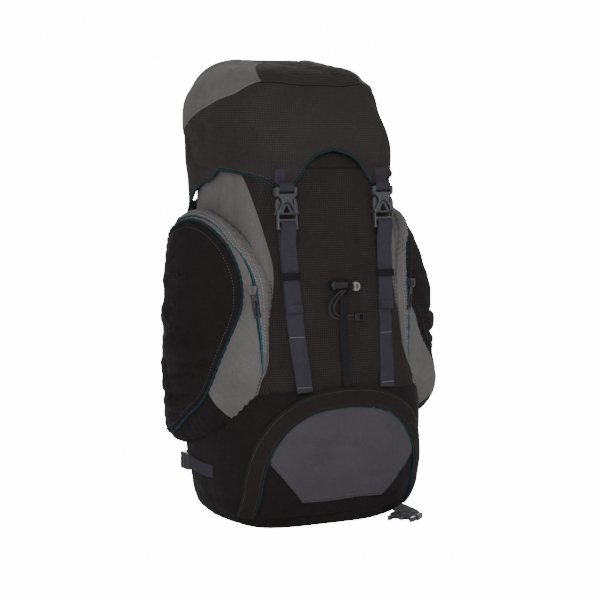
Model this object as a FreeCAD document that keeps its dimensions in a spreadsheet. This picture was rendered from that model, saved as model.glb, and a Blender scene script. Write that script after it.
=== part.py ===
import FreeCAD, Part
import math
import os
import Sketcher
from FreeCAD import Placement, Rotation, Vector

# Hiking backpack. Millimetres, +X to the right seen from the front, the front
# faces -Y, the harness is at +Y, and the pack stands on Z = 0.

doc = FreeCAD.newDocument("backpack")
sheet = doc.addObject("Spreadsheet::Sheet", "Size")


class Dim:
    """A number that also knows the spreadsheet expression it comes from."""

    def __init__(self, value, text):
        self.value = value
        self.text = text

    def __add__(self, other):
        other = dim(other)
        return Dim(self.value + other.value, f"({self.text} + {other.text})")

    def __sub__(self, other):
        other = dim(other)
        return Dim(self.value - other.value, f"({self.text} - {other.text})")

    def __mul__(self, other):
        other = dim(other)
        return Dim(self.value * other.value, f"({self.text} * {other.text})")

    def __truediv__(self, other):
        other = dim(other)
        return Dim(self.value / other.value, f"({self.text} / {other.text})")

    def __neg__(self):
        return self * -1

    def __radd__(self, other):
        return dim(other) + self

    def __rsub__(self, other):
        return dim(other) - self

    def __rmul__(self, other):
        return dim(other) * self


def dim(value):
    if isinstance(value, Dim):
        return value
    return Dim(float(value), f"{value:.6f}" if value >= 0 else f"(0 - {-value:.6f})")


# Driving dimensions: (name, value, what it is)
driving = [
    ("bagHalf", 138, "half width of the bag at its widest"),
    ("baseHalf", 118, "half width of the bag at the base"),
    ("neckHalf", 134, "half width of the bag under the lid"),
    ("rimHalf", 128, "half width of the bag at the rim"),
    ("rim", 520, "height of the bag's rim"),
    ("back", 100, "back panel, behind the origin"),
    ("wall", 3, "thickness of the bag's cloth and its lining"),
    ("frontBase", 116, "front of the bag at the base"),
    ("frontLow", 146, "front of the bag at lowUp"),
    ("frontBelly", 151, "front of the bag at bellyUp"),
    ("frontChest", 137, "front of the bag at chestUp"),
    ("frontNeck", 124, "front of the bag under the lid"),
    ("frontRim", 119, "front of the bag at the rim"),
    ("lowUp", 60, "height of the low section"),
    ("bellyUp", 200, "height of the fullest section"),
    ("chestUp", 350, "height of the chest section"),
    ("neckDrop", 85, "neck section, below the rim"),
    ("frontCorner", 60, "corner radius at the front"),
    ("backCorner", 34, "corner radius at the back"),
    ("seat", 0.3, "gap between pieces that lie on each other"),
    ("archHalf", 126, "half width of the lower opening"),
    ("archTop", 182, "top of the lower opening"),
    ("archFoot", 25, "foot of the lower opening"),
    ("flapWide", 25, "width of the storm flap"),
    ("lidClear", 3, "room between the bag and the lid"),
    ("lidWall", 2.5, "thickness of the lid's cloth"),
    ("lidHigh", 160, "top of the lid above the rim"),
    ("hingeBack", 5, "lid hinge behind the back panel"),
    ("hingeDrop", 80, "lid hinge below the rim"),
    ("collarHigh", 40, "height of the drawcord collar above the rim"),
    ("collarDrop", 20, "collar seam below the rim"),
    ("collarLean", 24, "how far the drawn collar leans in"),
    ("bulge", 8, "how far the cloth of the front stands out behind the tool holder"),
    ("webWide", 25, "webbing width of the lid straps"),
    ("webThick", 1.2, "webbing thickness"),
    ("buckleAt", 81, "lid buckles, each side of the middle"),
    ("strapAt", 77, "lid straps, each side of the middle"),
    ("buckleDrop", 50, "buckle centre below the rim"),
    ("pocketOut", 207, "outer face of a side pocket"),
    ("pocketLow", 110, "bottom of a side pocket"),
    ("pocketHigh", 346, "height of a side pocket"),
    ("pocketDeep", 234, "depth of a side pocket, front to back"),
    ("padThick", 17, "back pad thickness"),
    ("shoulderWide", 60, "width of a shoulder strap"),
    ("shoulderIn", 38, "inner edge of a shoulder strap"),
    ("hipWebWide", 38, "hip belt webbing width"),
    ("cordDia", 3, "elastic cord"),
]
for row, (alias, value, note) in enumerate(driving, start=1):
    sheet.set(f"A{row}", str(value))
    sheet.setAlias(f"A{row}", alias)
    sheet.set(f"B{row}", note)
doc.recompute()


class Sizes:
    def __getattr__(self, name):
        return Dim(float(sheet.get(name)), f"Size.{name}")


s = Sizes()
subparts = []


def keep(obj, label):
    obj.Label = label
    subparts.append(obj)
    return obj


def bind(obj, prop, value):
    obj.setExpression(prop, dim(value).text)


# Sketches -----------------------------------------------------------------

def newSketch(body, plane, level):
    """A sketch on one of the body's planes, moved along its normal to level."""
    sketch = body.newObject("Sketcher::SketchObject", "Sketch")
    origin = [f for f in body.Origin.OriginFeatures if f.Role == plane][0]
    sketch.AttachmentSupport = [(origin, "")]
    sketch.MapMode = "FlatFace"
    bind(sketch, "AttachmentOffset.Base.z", level)
    return sketch


def place(sketch, index, which, point):
    for kind, value in (("DistanceX", dim(point[0])), ("DistanceY", dim(point[1]))):
        number = sketch.addConstraint(
            Sketcher.Constraint(kind, -1, 1, index, which, value.value))
        sketch.setExpression(f"Constraints[{number}]", value.text)


def polygon(sketch, points):
    first = sketch.GeometryCount
    count = len(points)
    flat = [Vector(dim(a).value, dim(b).value, 0) for a, b in points]
    for i in range(count):
        sketch.addGeometry(Part.LineSegment(flat[i], flat[(i + 1) % count]))
    for i in range(count):
        sketch.addConstraint(Sketcher.Constraint(
            "Coincident", first + i, 2, first + (i + 1) % count, 1))
    for i, point in enumerate(points):
        place(sketch, first + i, 1, point)


def roundedBox(sketch, left, right, low, high, radii):
    """A rectangle whose corners have radii (low left, low right, high right, high left)."""
    left, right, low, high = dim(left), dim(right), dim(low), dim(high)
    corners = [(left, low, 1, 1, 180), (right, low, -1, 1, 270),
               (right, high, -1, -1, 0), (left, high, 1, -1, 90)]
    ends = []
    for (x, y, inX, inY, start), radius in zip(corners, radii):
        radius = dim(radius)
        middle = (x + radius * inX, y + radius * inY)
        a = math.radians(start)
        b = math.radians(start + 90)
        first = (middle[0] + radius * round(math.cos(a)), middle[1] + radius * round(math.sin(a)))
        last = (middle[0] + radius * round(math.cos(b)), middle[1] + radius * round(math.sin(b)))
        circle = Part.Circle(Vector(middle[0].value, middle[1].value, 0), Vector(0, 0, 1),
                             radius.value)
        arc = sketch.addGeometry(Part.ArcOfCircle(circle, a, b))
        place(sketch, arc, 3, middle)
        number = sketch.addConstraint(Sketcher.Constraint("Radius", arc, radius.value))
        sketch.setExpression(f"Constraints[{number}]", radius.text)
        ends.append((arc, first, last))
    for i in range(4):
        arc, first, last = ends[i]
        following, start, unused = ends[(i + 1) % 4]
        line = sketch.addGeometry(Part.LineSegment(
            Vector(last[0].value, last[1].value, 0), Vector(start[0].value, start[1].value, 0)))
        sketch.addConstraint(Sketcher.Constraint("Tangent", arc, 2, line, 1))
        sketch.addConstraint(Sketcher.Constraint("Tangent", line, 2, following, 1))


# Solids ---------------------------------------------------------------------

def newBody(label, kept=True):
    body = doc.addObject("PartDesign::Body", label)
    if kept:
        keep(body, label)
    return body


def extrude(body, plane, points, low, high, cut=False):
    """Pad or pocket a polygon between two levels along the plane's axis.
    XY_Plane runs along Z, XZ_Plane along Y and YZ_Plane along X."""
    low, high = dim(low), dim(high)
    backward = plane == "XZ_Plane"
    sketch = newSketch(body, plane, -high if backward else low)
    polygon(sketch, points)
    feature = body.newObject("PartDesign::Pocket" if cut else "PartDesign::Pad", "Extrude")
    feature.Profile = sketch
    bind(feature, "Length", high - low)
    if cut:
        feature.Reversed = True
    return feature


def block(label, x, y, z, body=None):
    """A box from three (low, high) pairs."""
    body = body or newBody(label)
    extrude(body, "XY_Plane", [(x[0], y[0]), (x[1], y[0]), (x[1], y[1]), (x[0], y[1])],
            z[0], z[1])
    return body


def loft(body, plane, sections, cut=False):
    """Ruled loft through (level, left, right, low, high, radii) sections."""
    sketches = []
    for level, left, right, low, high, radii in sections:
        sketch = newSketch(body, plane, level)
        roundedBox(sketch, left, right, low, high, radii)
        sketches.append(sketch)
    kind = "PartDesign::SubtractiveLoft" if cut else "PartDesign::AdditiveLoft"
    feature = body.newObject(kind, "Loft")
    feature.Profile = sketches[0]
    feature.Sections = sketches[1:]
    feature.Ruled = True
    return feature


def combine(kind, label, base, tool, kept=True):
    result = doc.addObject(kind, label)
    result.Base = base
    result.Tool = tool
    if kept:
        keep(result, label)
    return result


def ribbonOutline(points, halfThick):
    """Closed outline of a strip of even thickness along a line of points."""
    flat = [(dim(a).value, dim(b).value) for a, b in points]
    sides = [[], []]
    for i, (a, b) in enumerate(points):
        before = flat[max(i - 1, 0)]
        after = flat[min(i + 1, len(flat) - 1)]
        run = math.hypot(after[0] - before[0], after[1] - before[1])
        normal = ((before[1] - after[1]) / run, (after[0] - before[0]) / run)
        for side, sign in ((0, 1), (1, -1)):
            offset = dim(halfThick) * sign
            sides[side].append((dim(a) + offset * normal[0], dim(b) + offset * normal[1]))
    return sides[0] + sides[1][::-1]


sideName = {-1: "left", 1: "right"}


def span(sign, inner, outer):
    """(low, high) in X of a piece between inner and outer on one side."""
    return (inner, outer) if sign > 0 else (-dim(outer), -dim(inner))


flapThick = 2


# The bag ---------------------------------------------------------------------

def bagSections(out, bottom):
    """Sections of the bag's outer surface moved out by a distance."""
    rows = [
        (dim(bottom), s.baseHalf, s.frontBase),
        (s.lowUp, s.bagHalf, s.frontLow),
        (s.bellyUp, s.bagHalf, s.frontBelly),
        (s.chestUp, s.bagHalf, s.frontChest),
        (s.rim - s.neckDrop, s.neckHalf, s.frontNeck),
        (s.rim, s.rimHalf, s.frontRim),
    ]
    front = s.frontCorner + out
    rear = s.backCorner + out
    radii = (front, front, rear, rear)
    return [(z, -(half + out), half + out, -(fore + out), s.back + out, radii)
            for z, half, fore in rows]


def frontAt(z):
    """Front of the bag at a height between the chest and the neck, or the belly and the chest."""
    z = dim(z)
    neckUp = s.rim - s.neckDrop
    rows = [(s.bellyUp, s.frontBelly), (s.chestUp, s.frontChest), (neckUp, s.frontNeck),
            (s.rim, s.frontRim)]
    for (low, first), (high, second) in zip(rows, rows[1:]):
        if z.value <= high.value or high is s.rim:
            break
    return first + (second - first) * ((z - low) / (high - low))


def bagShell(label, outer, inner, kept=False):
    body = newBody(label, kept)
    loft(body, "XY_Plane", bagSections(outer, 0))
    loft(body, "XY_Plane", bagSections(inner, 0), cut=True)
    return body


def archOutline(grow):
    """The lower opening's outline in X and Z, grown by a distance."""
    grow = dim(grow)
    half = s.archHalf + grow
    top = s.archTop + grow
    right = [(half, s.archFoot - grow), (half, s.archTop - 72), (half - 21, top - 32),
             (half - 66, top - 6)]
    left = [(-a, b) for a, b in reversed(right)]
    return right + [(dim(0), top)] + left


def archPrism(label, grow, inner=None):
    body = newBody(label, kept=False)
    extrude(body, "XZ_Plane", archOutline(grow), -(s.frontBelly + 30), -(s.frontBelly - 60))
    if inner is not None:
        hole = archOutline(inner)
        foot = s.archFoot - dim(grow) - 20
        hole[0] = (hole[0][0], foot)
        hole[-1] = (hole[-1][0], foot)
        sketch = newSketch(body, "XZ_Plane", s.frontBelly + 31)
        polygon(sketch, hole)
        pocket = body.newObject("PartDesign::Pocket", "Hole")
        pocket.Profile = sketch
        bind(pocket, "Length", 92)
        doc.recompute()
        return body
    return body


def makeBag():
    shell = newBody("bagShell", kept=False)
    loft(shell, "XY_Plane", bagSections(dim(0), 0))
    inside = bagSections(-s.wall, s.wall)
    inside[-1] = (s.rim + 1,) + inside[-1][1:]
    loft(shell, "XY_Plane", inside, cut=True)
    combine("Part::Cut", "main_bag", shell, archPrism("archHole", 1))
    panel = bagShell("doorShell", dim(0), -s.wall)
    combine("Part::Common", "lower_door", panel, archPrism("archPanel", 0))
    skin = bagShell("flapShell", s.seat + flapThick, s.seat)
    combine("Part::Common", "storm_flap", skin, archPrism("archBand", s.flapWide, 2))
    tape = bagShell("tapeShell", s.seat + 1.5, s.seat)
    combine("Part::Common", "lower_zip", tape, archPrism("archTape", -1, -9))
    corner = dim(30)
    low = s.bellyUp - 12
    body = newBody("compartment_divider")
    sketch = newSketch(body, "XY_Plane", low)
    inset = s.wall + 1
    roundedBox(sketch, inset - s.bagHalf, s.bagHalf - inset, inset - s.frontBelly + 2,
               s.back - inset - 6, (s.frontCorner, s.frontCorner, corner, corner))
    pad = body.newObject("PartDesign::Pad", "Sheet")
    pad.Profile = sketch
    bind(pad, "Length", 2)


def makeCollar():
    """A drawn collar: sewn inside the bag below the rim and leaning in to its cord."""
    body = newBody("drawcord_collar")
    share = s.collarDrop / s.neckDrop
    seam = (s.rimHalf + (s.neckHalf - s.rimHalf) * share - s.wall - s.seat,
            s.frontRim + (s.frontNeck - s.frontRim) * share - s.wall - s.seat)
    mouth = (seam[0] - s.collarLean, seam[1] - s.collarLean)
    low = s.rim - s.collarDrop
    top = s.rim + s.collarHigh
    rear = s.back - s.wall - s.seat
    for inward, stretch, cut in ((0, 0, False), (2, 1, True)):
        sections = []
        for z, (half, fore), lean in ((low - stretch, seam, dim(0)),
                                      (top + stretch, mouth, s.collarLean)):
            radius = s.frontCorner - lean * 0.5 - inward
            behind = s.backCorner - s.wall - lean * 0.4 - inward
            sections.append((z, inward - half, half - inward, inward - fore,
                             rear - lean * 0.6 - inward, (radius, radius, behind, behind)))
        loft(body, "XY_Plane", sections, cut)
    high = top + s.seat
    ring = newBody("collar_cord")
    for inward, cut in ((0, False), (s.cordDia, True)):
        stretch = 1 if cut else 0
        half = mouth[0] - inward
        radius = s.frontCorner - s.collarLean * 0.5 - inward
        behind = s.backCorner - s.wall - s.collarLean * 0.4 - inward
        loft(ring, "XY_Plane", [
            (z, -half, half, inward - mouth[1], rear - s.collarLean * 0.6 - inward,
             (radius, radius, behind, behind))
            for z in (high - stretch, high + s.cordDia + stretch)], cut)
    lockLow = -mouth[1] + s.cordDia + s.seat
    lock = block("collar_cord_lock", (-8, 8), (lockLow, lockLow + 11), (high, high + 17))
    extrude(lock, "XZ_Plane", [(-3, high + 4), (3, high + 4), (3, high + 8), (-3, high + 8)],
            lockLow - 1, lockLow + 12, cut=True)


# The lid ---------------------------------------------------------------------

def lidSections(inward, stretch):
    half = s.neckHalf + s.lidClear + s.lidWall - inward
    fore = s.frontNeck + s.lidClear + s.lidWall - inward
    rear = s.back + 3 + s.lidClear + s.lidWall - inward
    top = s.rim + s.lidHigh
    rows = [(s.rim - 90 - stretch, 0, 1), (s.rim, 0, 1), (s.rim + 80, 5, 1),
            (s.rim + 120, 18, 1), (s.rim + 145, 40, 1), (top - inward, 68, 0)]
    sections = []
    for z, taper, full in rows:
        radius = s.frontCorner - inward - taper * 0.4
        back = s.backCorner + 12 - inward - taper * 0.2
        sections.append((z, taper - half, half - taper, taper - fore, rear - taper,
                         (radius, radius, back, back)))
    return sections


def makeLid():
    body = newBody("lid_shell")
    loft(body, "XY_Plane", lidSections(dim(0), dim(0)))
    loft(body, "XY_Plane", lidSections(s.lidWall, dim(1)), cut=True)
    far = s.pocketOut
    floor = s.rim - 95
    rearEdge = s.rim - s.hingeDrop + 2
    extrude(body, "YZ_Plane",
            [(-far, floor), (far, floor), (far, rearEdge), (s.back + 10, rearEdge),
             (s.back - 40, s.rim - 65), (-45, s.rim), (-s.frontNeck - 2, s.rim - 22),
             (-far, s.rim - 22)], -far, far, cut=True)
    arch = [(-64, s.rim - 30), (-54, s.rim), (-30, s.rim + 21), (0, s.rim + 28),
            (30, s.rim + 21), (54, s.rim), (64, s.rim - 30)]
    extrude(body, "XZ_Plane", arch, -s.frontNeck - 20, -s.frontNeck + 40, cut=True)
    for sign in (-1, 1):
        low, high = span(sign, s.shoulderIn - 4, s.shoulderIn + s.shoulderWide + 14)
        extrude(body, "XZ_Plane", [(low, floor), (high, floor), (high, s.rim - 18),
                                   (low, s.rim - 18)], s.back - 4, s.back + 30, cut=True)
    floorUp = s.rim + s.collarHigh + 22
    sheetBody = newBody("lid_pocket_floor")
    sketch = newSketch(sheetBody, "XY_Plane", floorUp)
    half = s.neckHalf + s.lidClear - 6
    roundedBox(sketch, -half, half, -(s.frontNeck + s.lidClear - 6), s.back + 3 + s.lidClear - 6,
               (s.frontCorner - 8, s.frontCorner - 8, s.backCorner + 4, s.backCorner + 4))
    pad = sheetBody.newObject("PartDesign::Pad", "Sheet")
    pad.Profile = sketch
    bind(pad, "Length", 2)
    rear = s.back + 3 + s.lidClear + s.lidWall + s.seat
    zipUp = s.rim + 24
    block("lid_zip", (-75, 75), (rear, rear + 1.5), (zipUp, zipUp + 14))
    hingeLow = s.rim - s.hingeDrop
    hinge = newBody("lid_hinge_strap")
    extrude(hinge, "YZ_Plane",
            [(s.back + s.seat, hingeLow - 26), (s.back + s.seat + 2, hingeLow - 26),
             (s.back + s.seat + 2, hingeLow - 3), (s.back + s.hingeBack + 1, hingeLow - 1),
             (s.back + s.hingeBack - 2, hingeLow + 1), (s.back + s.seat, hingeLow - 3)],
            -(s.shoulderIn - 3), s.shoulderIn - 3)
    slider = block("lid_zip_slider", (-72, -62), (rear + 1.5 + s.seat, rear + 6.5),
                   (zipUp + 2, zipUp + 12))
    extrude(slider, "XZ_Plane", [(-69, zipUp - 14), (-65, zipUp - 14), (-65, zipUp + 3),
                                 (-69, zipUp + 3)], rear + 3, rear + 5)


# Lid straps and buckles --------------------------------------------------------

tiltDegrees = 7.3
buckleThick = 10.6
prongThick = 5.4
plateGap = 6.6


def buckleCentre():
    z = s.rim - s.buckleDrop
    return -(frontAt(z) + buckleThick / 2 + 2.6), z


def tilted(obj, x, y, z):
    """Stand an upright buckle piece on the bag's sloping front."""
    obj.Placement.Rotation = Rotation(Vector(1, 0, 0), -tiltDegrees)
    bind(obj, "Placement.Base.x", x)
    bind(obj, "Placement.Base.y", y)
    bind(obj, "Placement.Base.z", z)


def makeBuckle(sign):
    side = sideName[sign]
    y, z = buckleCentre()
    x = s.buckleAt * sign
    half = s.webWide / 2
    thick = dim(buckleThick / 2)
    gap = dim(plateGap / 2)
    socket = newBody(f"{side}_buckle_socket")
    extrude(socket, "YZ_Plane",
            [(-thick, -8), (-gap, -8), (-gap, 11), (gap, 11), (gap, -8), (thick, -8),
             (thick, 26), (-thick, 26)], -(half + 4), half + 4)
    extrude(socket, "XZ_Plane", [(-half - 0.5, 17), (half + 0.5, 17), (half + 0.5, 22),
                                 (-half - 0.5, 22)], -thick - 1, thick + 1, cut=True)
    for edge in (-1, 1):
        extrude(socket, "XZ_Plane",
                [(edge * (half + 5), 14), (edge * (half + 5), -4), (edge * (half - 1), -4),
                 (edge * (half - 1), 10)], -thick - 1, thick + 1, cut=True)
    tilted(socket, x, y, z)
    plug = newBody(f"{side}_buckle_plug")
    prong = dim(prongThick / 2)
    extrude(plug, "XZ_Plane", [(-half - 3, -36), (half + 3, -36), (half + 3, -9),
                               (-half - 3, -9)], -4, 4)
    for low, high in ((-32, -26), (-22, -14)):
        extrude(plug, "XZ_Plane", [(-half, low), (half, low), (half, high), (-half, high)],
                -5, 5, cut=True)
    for edge in (-1, 1):
        extrude(plug, "XZ_Plane", [(edge * (half + 2), -10), (edge * (half + 2), 9),
                                   (edge * (half - 4), 9), (edge * (half - 3), -10)],
                -prong, prong)
    extrude(plug, "XZ_Plane", [(-2, -10), (2, -10), (2, 6), (-2, 6)], -prong, prong)
    tilted(plug, x, y, z)


def makeLidTabs():
    """Webbing tabs that hold the buckle sockets to the lid, both in one node."""
    y, z = buckleCentre()
    body = newBody("lid_buckle_tabs")
    fore = s.frontNeck + s.lidClear + s.lidWall + s.seat
    low = z + 27 + s.seat
    for sign in (-1, 1):
        inner, outer = span(sign, s.buckleAt - s.webWide / 2, s.buckleAt + s.webWide / 2)
        block("", (inner, outer), (-fore - s.webThick * 2, -fore), (low, low + 26), body)


def makeLidStrap(sign):
    side = sideName[sign]
    inner, outer = span(sign, s.strapAt - s.webWide / 2, s.strapAt + s.webWide / 2)
    top = s.rim - 92
    foot = s.archTop + s.flapWide + 6
    strap = newBody(f"{side}_lid_strap")

    def face(z, off):
        return (-(frontAt(z) + off), dim(z))

    heights = [foot, s.chestUp, top]
    near = [face(z, 2.0) for z in heights]
    far = [face(z, 2.0 + s.webThick) for z in reversed(heights)]
    extrude(strap, "YZ_Plane", near + far, inner, outer)
    y, z = buckleCentre()
    tailTop = z - 37
    tailLow = s.chestUp - 33
    tail = newBody(f"{side}_strap_tail")
    heights = [tailLow, s.chestUp, tailTop]
    near = [face(z, 4.6) for z in heights]
    far = [face(z, 4.6 + s.webThick) for z in reversed(heights)]
    extrude(tail, "YZ_Plane", near + far, inner, outer)
    keeper = newBody(f"{side}_strap_keeper")
    low = s.chestUp + 14
    high = s.chestUp + 24
    extrude(keeper, "YZ_Plane", [face(low, 0.6), face(high, 0.6), face(high, 7.8),
                                 face(low, 7.8)], inner - 2.2, outer + 2.2)
    extrude(keeper, "YZ_Plane", [face(low - 2, 1.5), face(high + 2, 1.5), face(high + 2, 6.9),
                                 face(low - 2, 6.9)], inner - 0.8, outer + 0.8, cut=True)


# Tool holder ---------------------------------------------------------------------

toolRoutes = {
    "tool_cord_outer": [(-1, -153, 348.4), (-15, -154, 340), (-25, -153.5, 324),
                        (-19, -152.2, 309), (-2, -151.6, 305.2), (19, -151.6, 305.2)],
    "tool_cord_inner": [(4.5, -153, 348.4), (-9, -154, 337.5), (-17, -153.5, 323.5),
                        (-12, -152.2, 312.5), (0, -151.6, 310.4), (19, -151.6, 310.4)],
}


def cordTube(label, points):
    """Straight runs joined by tangent arcs, each arc as large as its two runs allow."""
    corners = [Vector(*p) for p in points]
    edges = []
    start = corners[0]
    radii = []
    for before, corner, after in zip(corners, corners[1:], corners[2:]):
        back = (before - corner)
        ahead = (after - corner)
        cut = 0.45 * min(back.Length, ahead.Length)
        turn = math.pi - back.getAngle(ahead)
        radii.append(cut / math.tan(turn / 2))
        back.normalize()
        ahead.normalize()
        first = corner + back * cut
        last = corner + ahead * cut
        middle = (back + ahead)
        middle.normalize()
        centre = corner + middle * math.hypot(cut, radii[-1])
        inside = centre - middle * radii[-1]
        edges.append(Part.LineSegment(start, first).toShape())
        edges.append(Part.Arc(first, inside, last).toShape())
        start = last
    edges.append(Part.LineSegment(start, corners[-1]).toShape())
    path = Part.Wire(edges)
    radius = s.cordDia.value / 2
    direction = corners[1] - corners[0]
    profile = Part.Wire(Part.makeCircle(radius, corners[0], direction))
    tube = path.makePipeShell([profile], True, False)
    full = math.pi * radius ** 2 * path.Length
    print(label, "length", round(path.Length, 1), "radii", [round(r, 1) for r in radii],
          "volume ratio", round(tube.Volume / full, 3))
    feature = doc.addObject("Part::Feature", label)
    feature.Shape = tube
    feature.Placement = Placement()
    keep(feature, label)


def makeToolHolder():
    low = s.archTop + s.flapWide + 6
    high = s.chestUp - 17
    strap = newBody("tool_loop_strap")
    foot, head = dim(1.2), s.bulge + 8
    near = [(-(frontAt(low) + foot), low), (-(frontAt(high) + head), high)]
    far = [(-(frontAt(high) + head + 1.4), high), (-(frontAt(low) + foot + 1.4), low)]
    extrude(strap, "YZ_Plane", near + far, -6, 6)
    y = -(frontAt(s.chestUp + 3)) - s.bulge - 2
    lockUp = s.chestUp - 3
    block("tool_lock_anchor", (7, 13), (y - 10, y + s.bulge), (lockUp - 6, lockUp + 14))
    block("tool_cord_lock", (-22, 6.6), (y - 12, y - 2), (lockUp + 3, lockUp + 14))
    block("tool_lock_button", (17.4, 27), (y - 11, y - 1), (lockUp - 3, lockUp + 14))
    tabUp = dim(308) + s.chestUp - 350
    block("tool_cord_end", (19 + s.seat, 35), (-155.3, -150.1), (tabUp - 6, tabUp + 6))
    for label, points in toolRoutes.items():
        cordTube(label, points)


# Side pockets --------------------------------------------------------------------

pocketRoot = s.bagHalf - 36
pocketEdge = s.pocketOut - 47
gussetBack = 39
zipAcross = 28
zipLean = 11
zipLong = 140


def pocketFront():
    return 4 - s.frontLow


def pocketSections(sign, inward, stretch):
    low = s.pocketLow
    high = s.pocketLow + s.pocketHigh
    fore = pocketFront()
    rear = fore + s.pocketDeep
    rows = [(pocketRoot - stretch, 0, 0, 0, 0, 40), (pocketEdge, gussetBack, 13, 12, 12, 50),
            (s.pocketOut - inward, 84, 40, 58, 52, 60)]
    sections = []
    for x, foreIn, rearIn, lowIn, highIn, radius in rows:
        radius = dim(radius) - inward
        sections.append((dim(x) * sign, fore + foreIn + inward, rear - rearIn - inward,
                         low + lowIn + inward, high - highIn - inward,
                         (radius, radius, radius, radius)))
    return sections


def onGusset(obj, sign, across, out, up):
    """Stand a piece on the pocket's front wall, across from the zip line and up from its middle."""
    run = (pocketEdge - pocketRoot).value
    turn = Rotation(Vector(0, 0, 1), math.degrees(math.atan2(gussetBack, run)) * sign)
    lean = Rotation(Vector(0, 1, 0), zipLean * sign)
    spot = turn.multVec(lean.multVec(Vector(across, 0, up)) + Vector(0, -out, 0))
    base = (pocketRoot + zipAcross) * sign
    obj.Placement.Rotation = turn.multiply(lean)
    bind(obj, "Placement.Base.x", base + spot.x)
    bind(obj, "Placement.Base.y", pocketFront() + gussetBack * zipAcross / run + spot.y)
    bind(obj, "Placement.Base.z", s.chestUp - 5 + spot.z)


def makePocket(sign):
    side = sideName[sign]
    shell = newBody(f"{side}PocketShell", kept=False)
    loft(shell, "YZ_Plane", pocketSections(sign, dim(0), dim(0)))
    loft(shell, "YZ_Plane", pocketSections(sign, s.wall, dim(1)), cut=True)
    core = newBody(f"{side}PocketCore", kept=False)
    loft(core, "XY_Plane", bagSections(flapThick + s.seat * 2, 0))
    combine("Part::Cut", f"{side}_side_pocket", shell, core)
    tape = block(f"{side}ZipTape", (-7, 7), (-1.5, 0), (-zipLong / 2, zipLong / 2),
                 newBody(f"{side}ZipTape", kept=False))
    onGusset(tape, sign, 0, s.seat.value + 1, 0)
    slider = block(f"{side}_zip_slider", (-5, 5), (-5.5, 0), (-6, 6))
    onGusset(slider, sign, 0, 3, 6)
    pull = newBody(f"{side}_zip_pull")
    extrude(pull, "XZ_Plane", [(-7.5, -30), (7.5, -30), (7.5, 0), (-7.5, 0)], -3, 0)
    extrude(pull, "XZ_Plane", [(-4, -26), (4, -26), (4, -5), (-4, -5)], -4, 1, cut=True)
    onGusset(pull, sign, 0, 3.2, -2)
    return tape


def makePocketZips(tapes):
    zips = doc.addObject("Part::Compound", "pocket_zips")
    zips.Links = tapes
    keep(zips, "pocket_zips")


def makeCompressionStraps():
    straps = newBody("compression_straps")
    buckles = newBody("compression_buckles")
    near = s.bagHalf + s.seat
    low = s.pocketLow - 34
    for sign in (-1, 1):
        block("", span(sign, near, near + 1.6), (-60, 82), (low, low + 20), straps)
        block("", span(sign, near + 1.6 + s.seat, near + 8), (24, 52), (low - 3, low + 23),
              buckles)
    for start in (29, 41):
        extrude(buckles, "YZ_Plane", [(start, low), (start + 6, low), (start + 6, low + 20),
                                      (start, low + 20)], -(near + 20), near + 20, cut=True)


def makeLabel():
    body = block("loop_label", (-1, 1), (-14, 0), (-9, 9))
    body.Placement = Placement(Vector(0, 0, 0), Rotation(Vector(0, 0, 1), 40))
    bind(body, "Placement.Base.x", s.pocketOut - 34)
    bind(body, "Placement.Base.y", -s.frontLow + 16 + 34)
    bind(body, "Placement.Base.z", s.pocketLow + 95)


# Frame and harness -----------------------------------------------------------------

def makeFrame():
    rear = s.back - s.wall - s.seat
    top = s.rim - 40
    block("frame_sheet", (-92, 92), (rear - 1.5, rear), (s.lowUp - 15, top))
    stays = newBody("frame_stays")
    front = rear - 1.5 - s.seat
    for x in (-55, 55):
        block("", (x - 6, x + 6), (front - 3, front), (s.lowUp - 10, top - 5), stays)


def makePads():
    near = s.back + s.seat
    pads = newBody("back_pads")
    for sign in (-1, 1):
        x = span(sign, 14, 74)
        block("", x, (near, near + s.padThick), (175, s.rim - s.hingeDrop - 30), pads)
    block("lumbar_pad", (-80, 80), (near, near + s.padThick + 8), (66, 160))


shoulderLine = [(6, -2), (16, 22), (33, 28), (46, 12), (53, -20), (60, -80), (67, -140),
                (60, -200), (46, -226)]


def makeShoulderStrap(sign):
    side = sideName[sign]
    hinge = (s.back, s.rim - s.hingeDrop)
    x = span(sign, s.shoulderIn, s.shoulderIn + s.shoulderWide)
    body = newBody(f"{side}_shoulder_strap")
    line = [(hinge[0] + a, hinge[1] + b) for a, b in shoulderLine]
    line[0] = (s.back + 6.2, hinge[1] - 4)
    extrude(body, "YZ_Plane", ribbonOutline(line, 5.5), x[0], x[1])


def makeShoulderWebbing():
    """Load lifters above and adjusting webbing below, all in one node."""
    top = s.rim - s.hingeDrop
    web = newBody("shoulder_webbing")
    locks = newBody("shoulder_ladder_locks")
    line = [(s.back + 43, top - 262), (s.back + 24, top - 270), (s.back + 1.2, top - 274)]
    lifter = [(s.back + 0.9, top + 46), (s.back + 16, top + 41), (s.back + 33, top + 35.5)]
    for sign in (-1, 1):
        x = span(sign, s.shoulderIn + 20, s.shoulderIn + 40)
        extrude(web, "YZ_Plane", ribbonOutline(lifter, 0.6), x[0], x[1])
        x = span(sign, s.shoulderIn + 18, s.shoulderIn + 43)
        extrude(web, "YZ_Plane", ribbonOutline(line, 0.7), x[0], x[1])
        x = span(sign, s.shoulderIn + 14, s.shoulderIn + 47)
        extrude(locks, "YZ_Plane", [(s.back + 40, top - 260), (s.back + 48, top - 260),
                                    (s.back + 48, top - 232), (s.back + 40, top - 232)],
                x[0], x[1])


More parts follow.
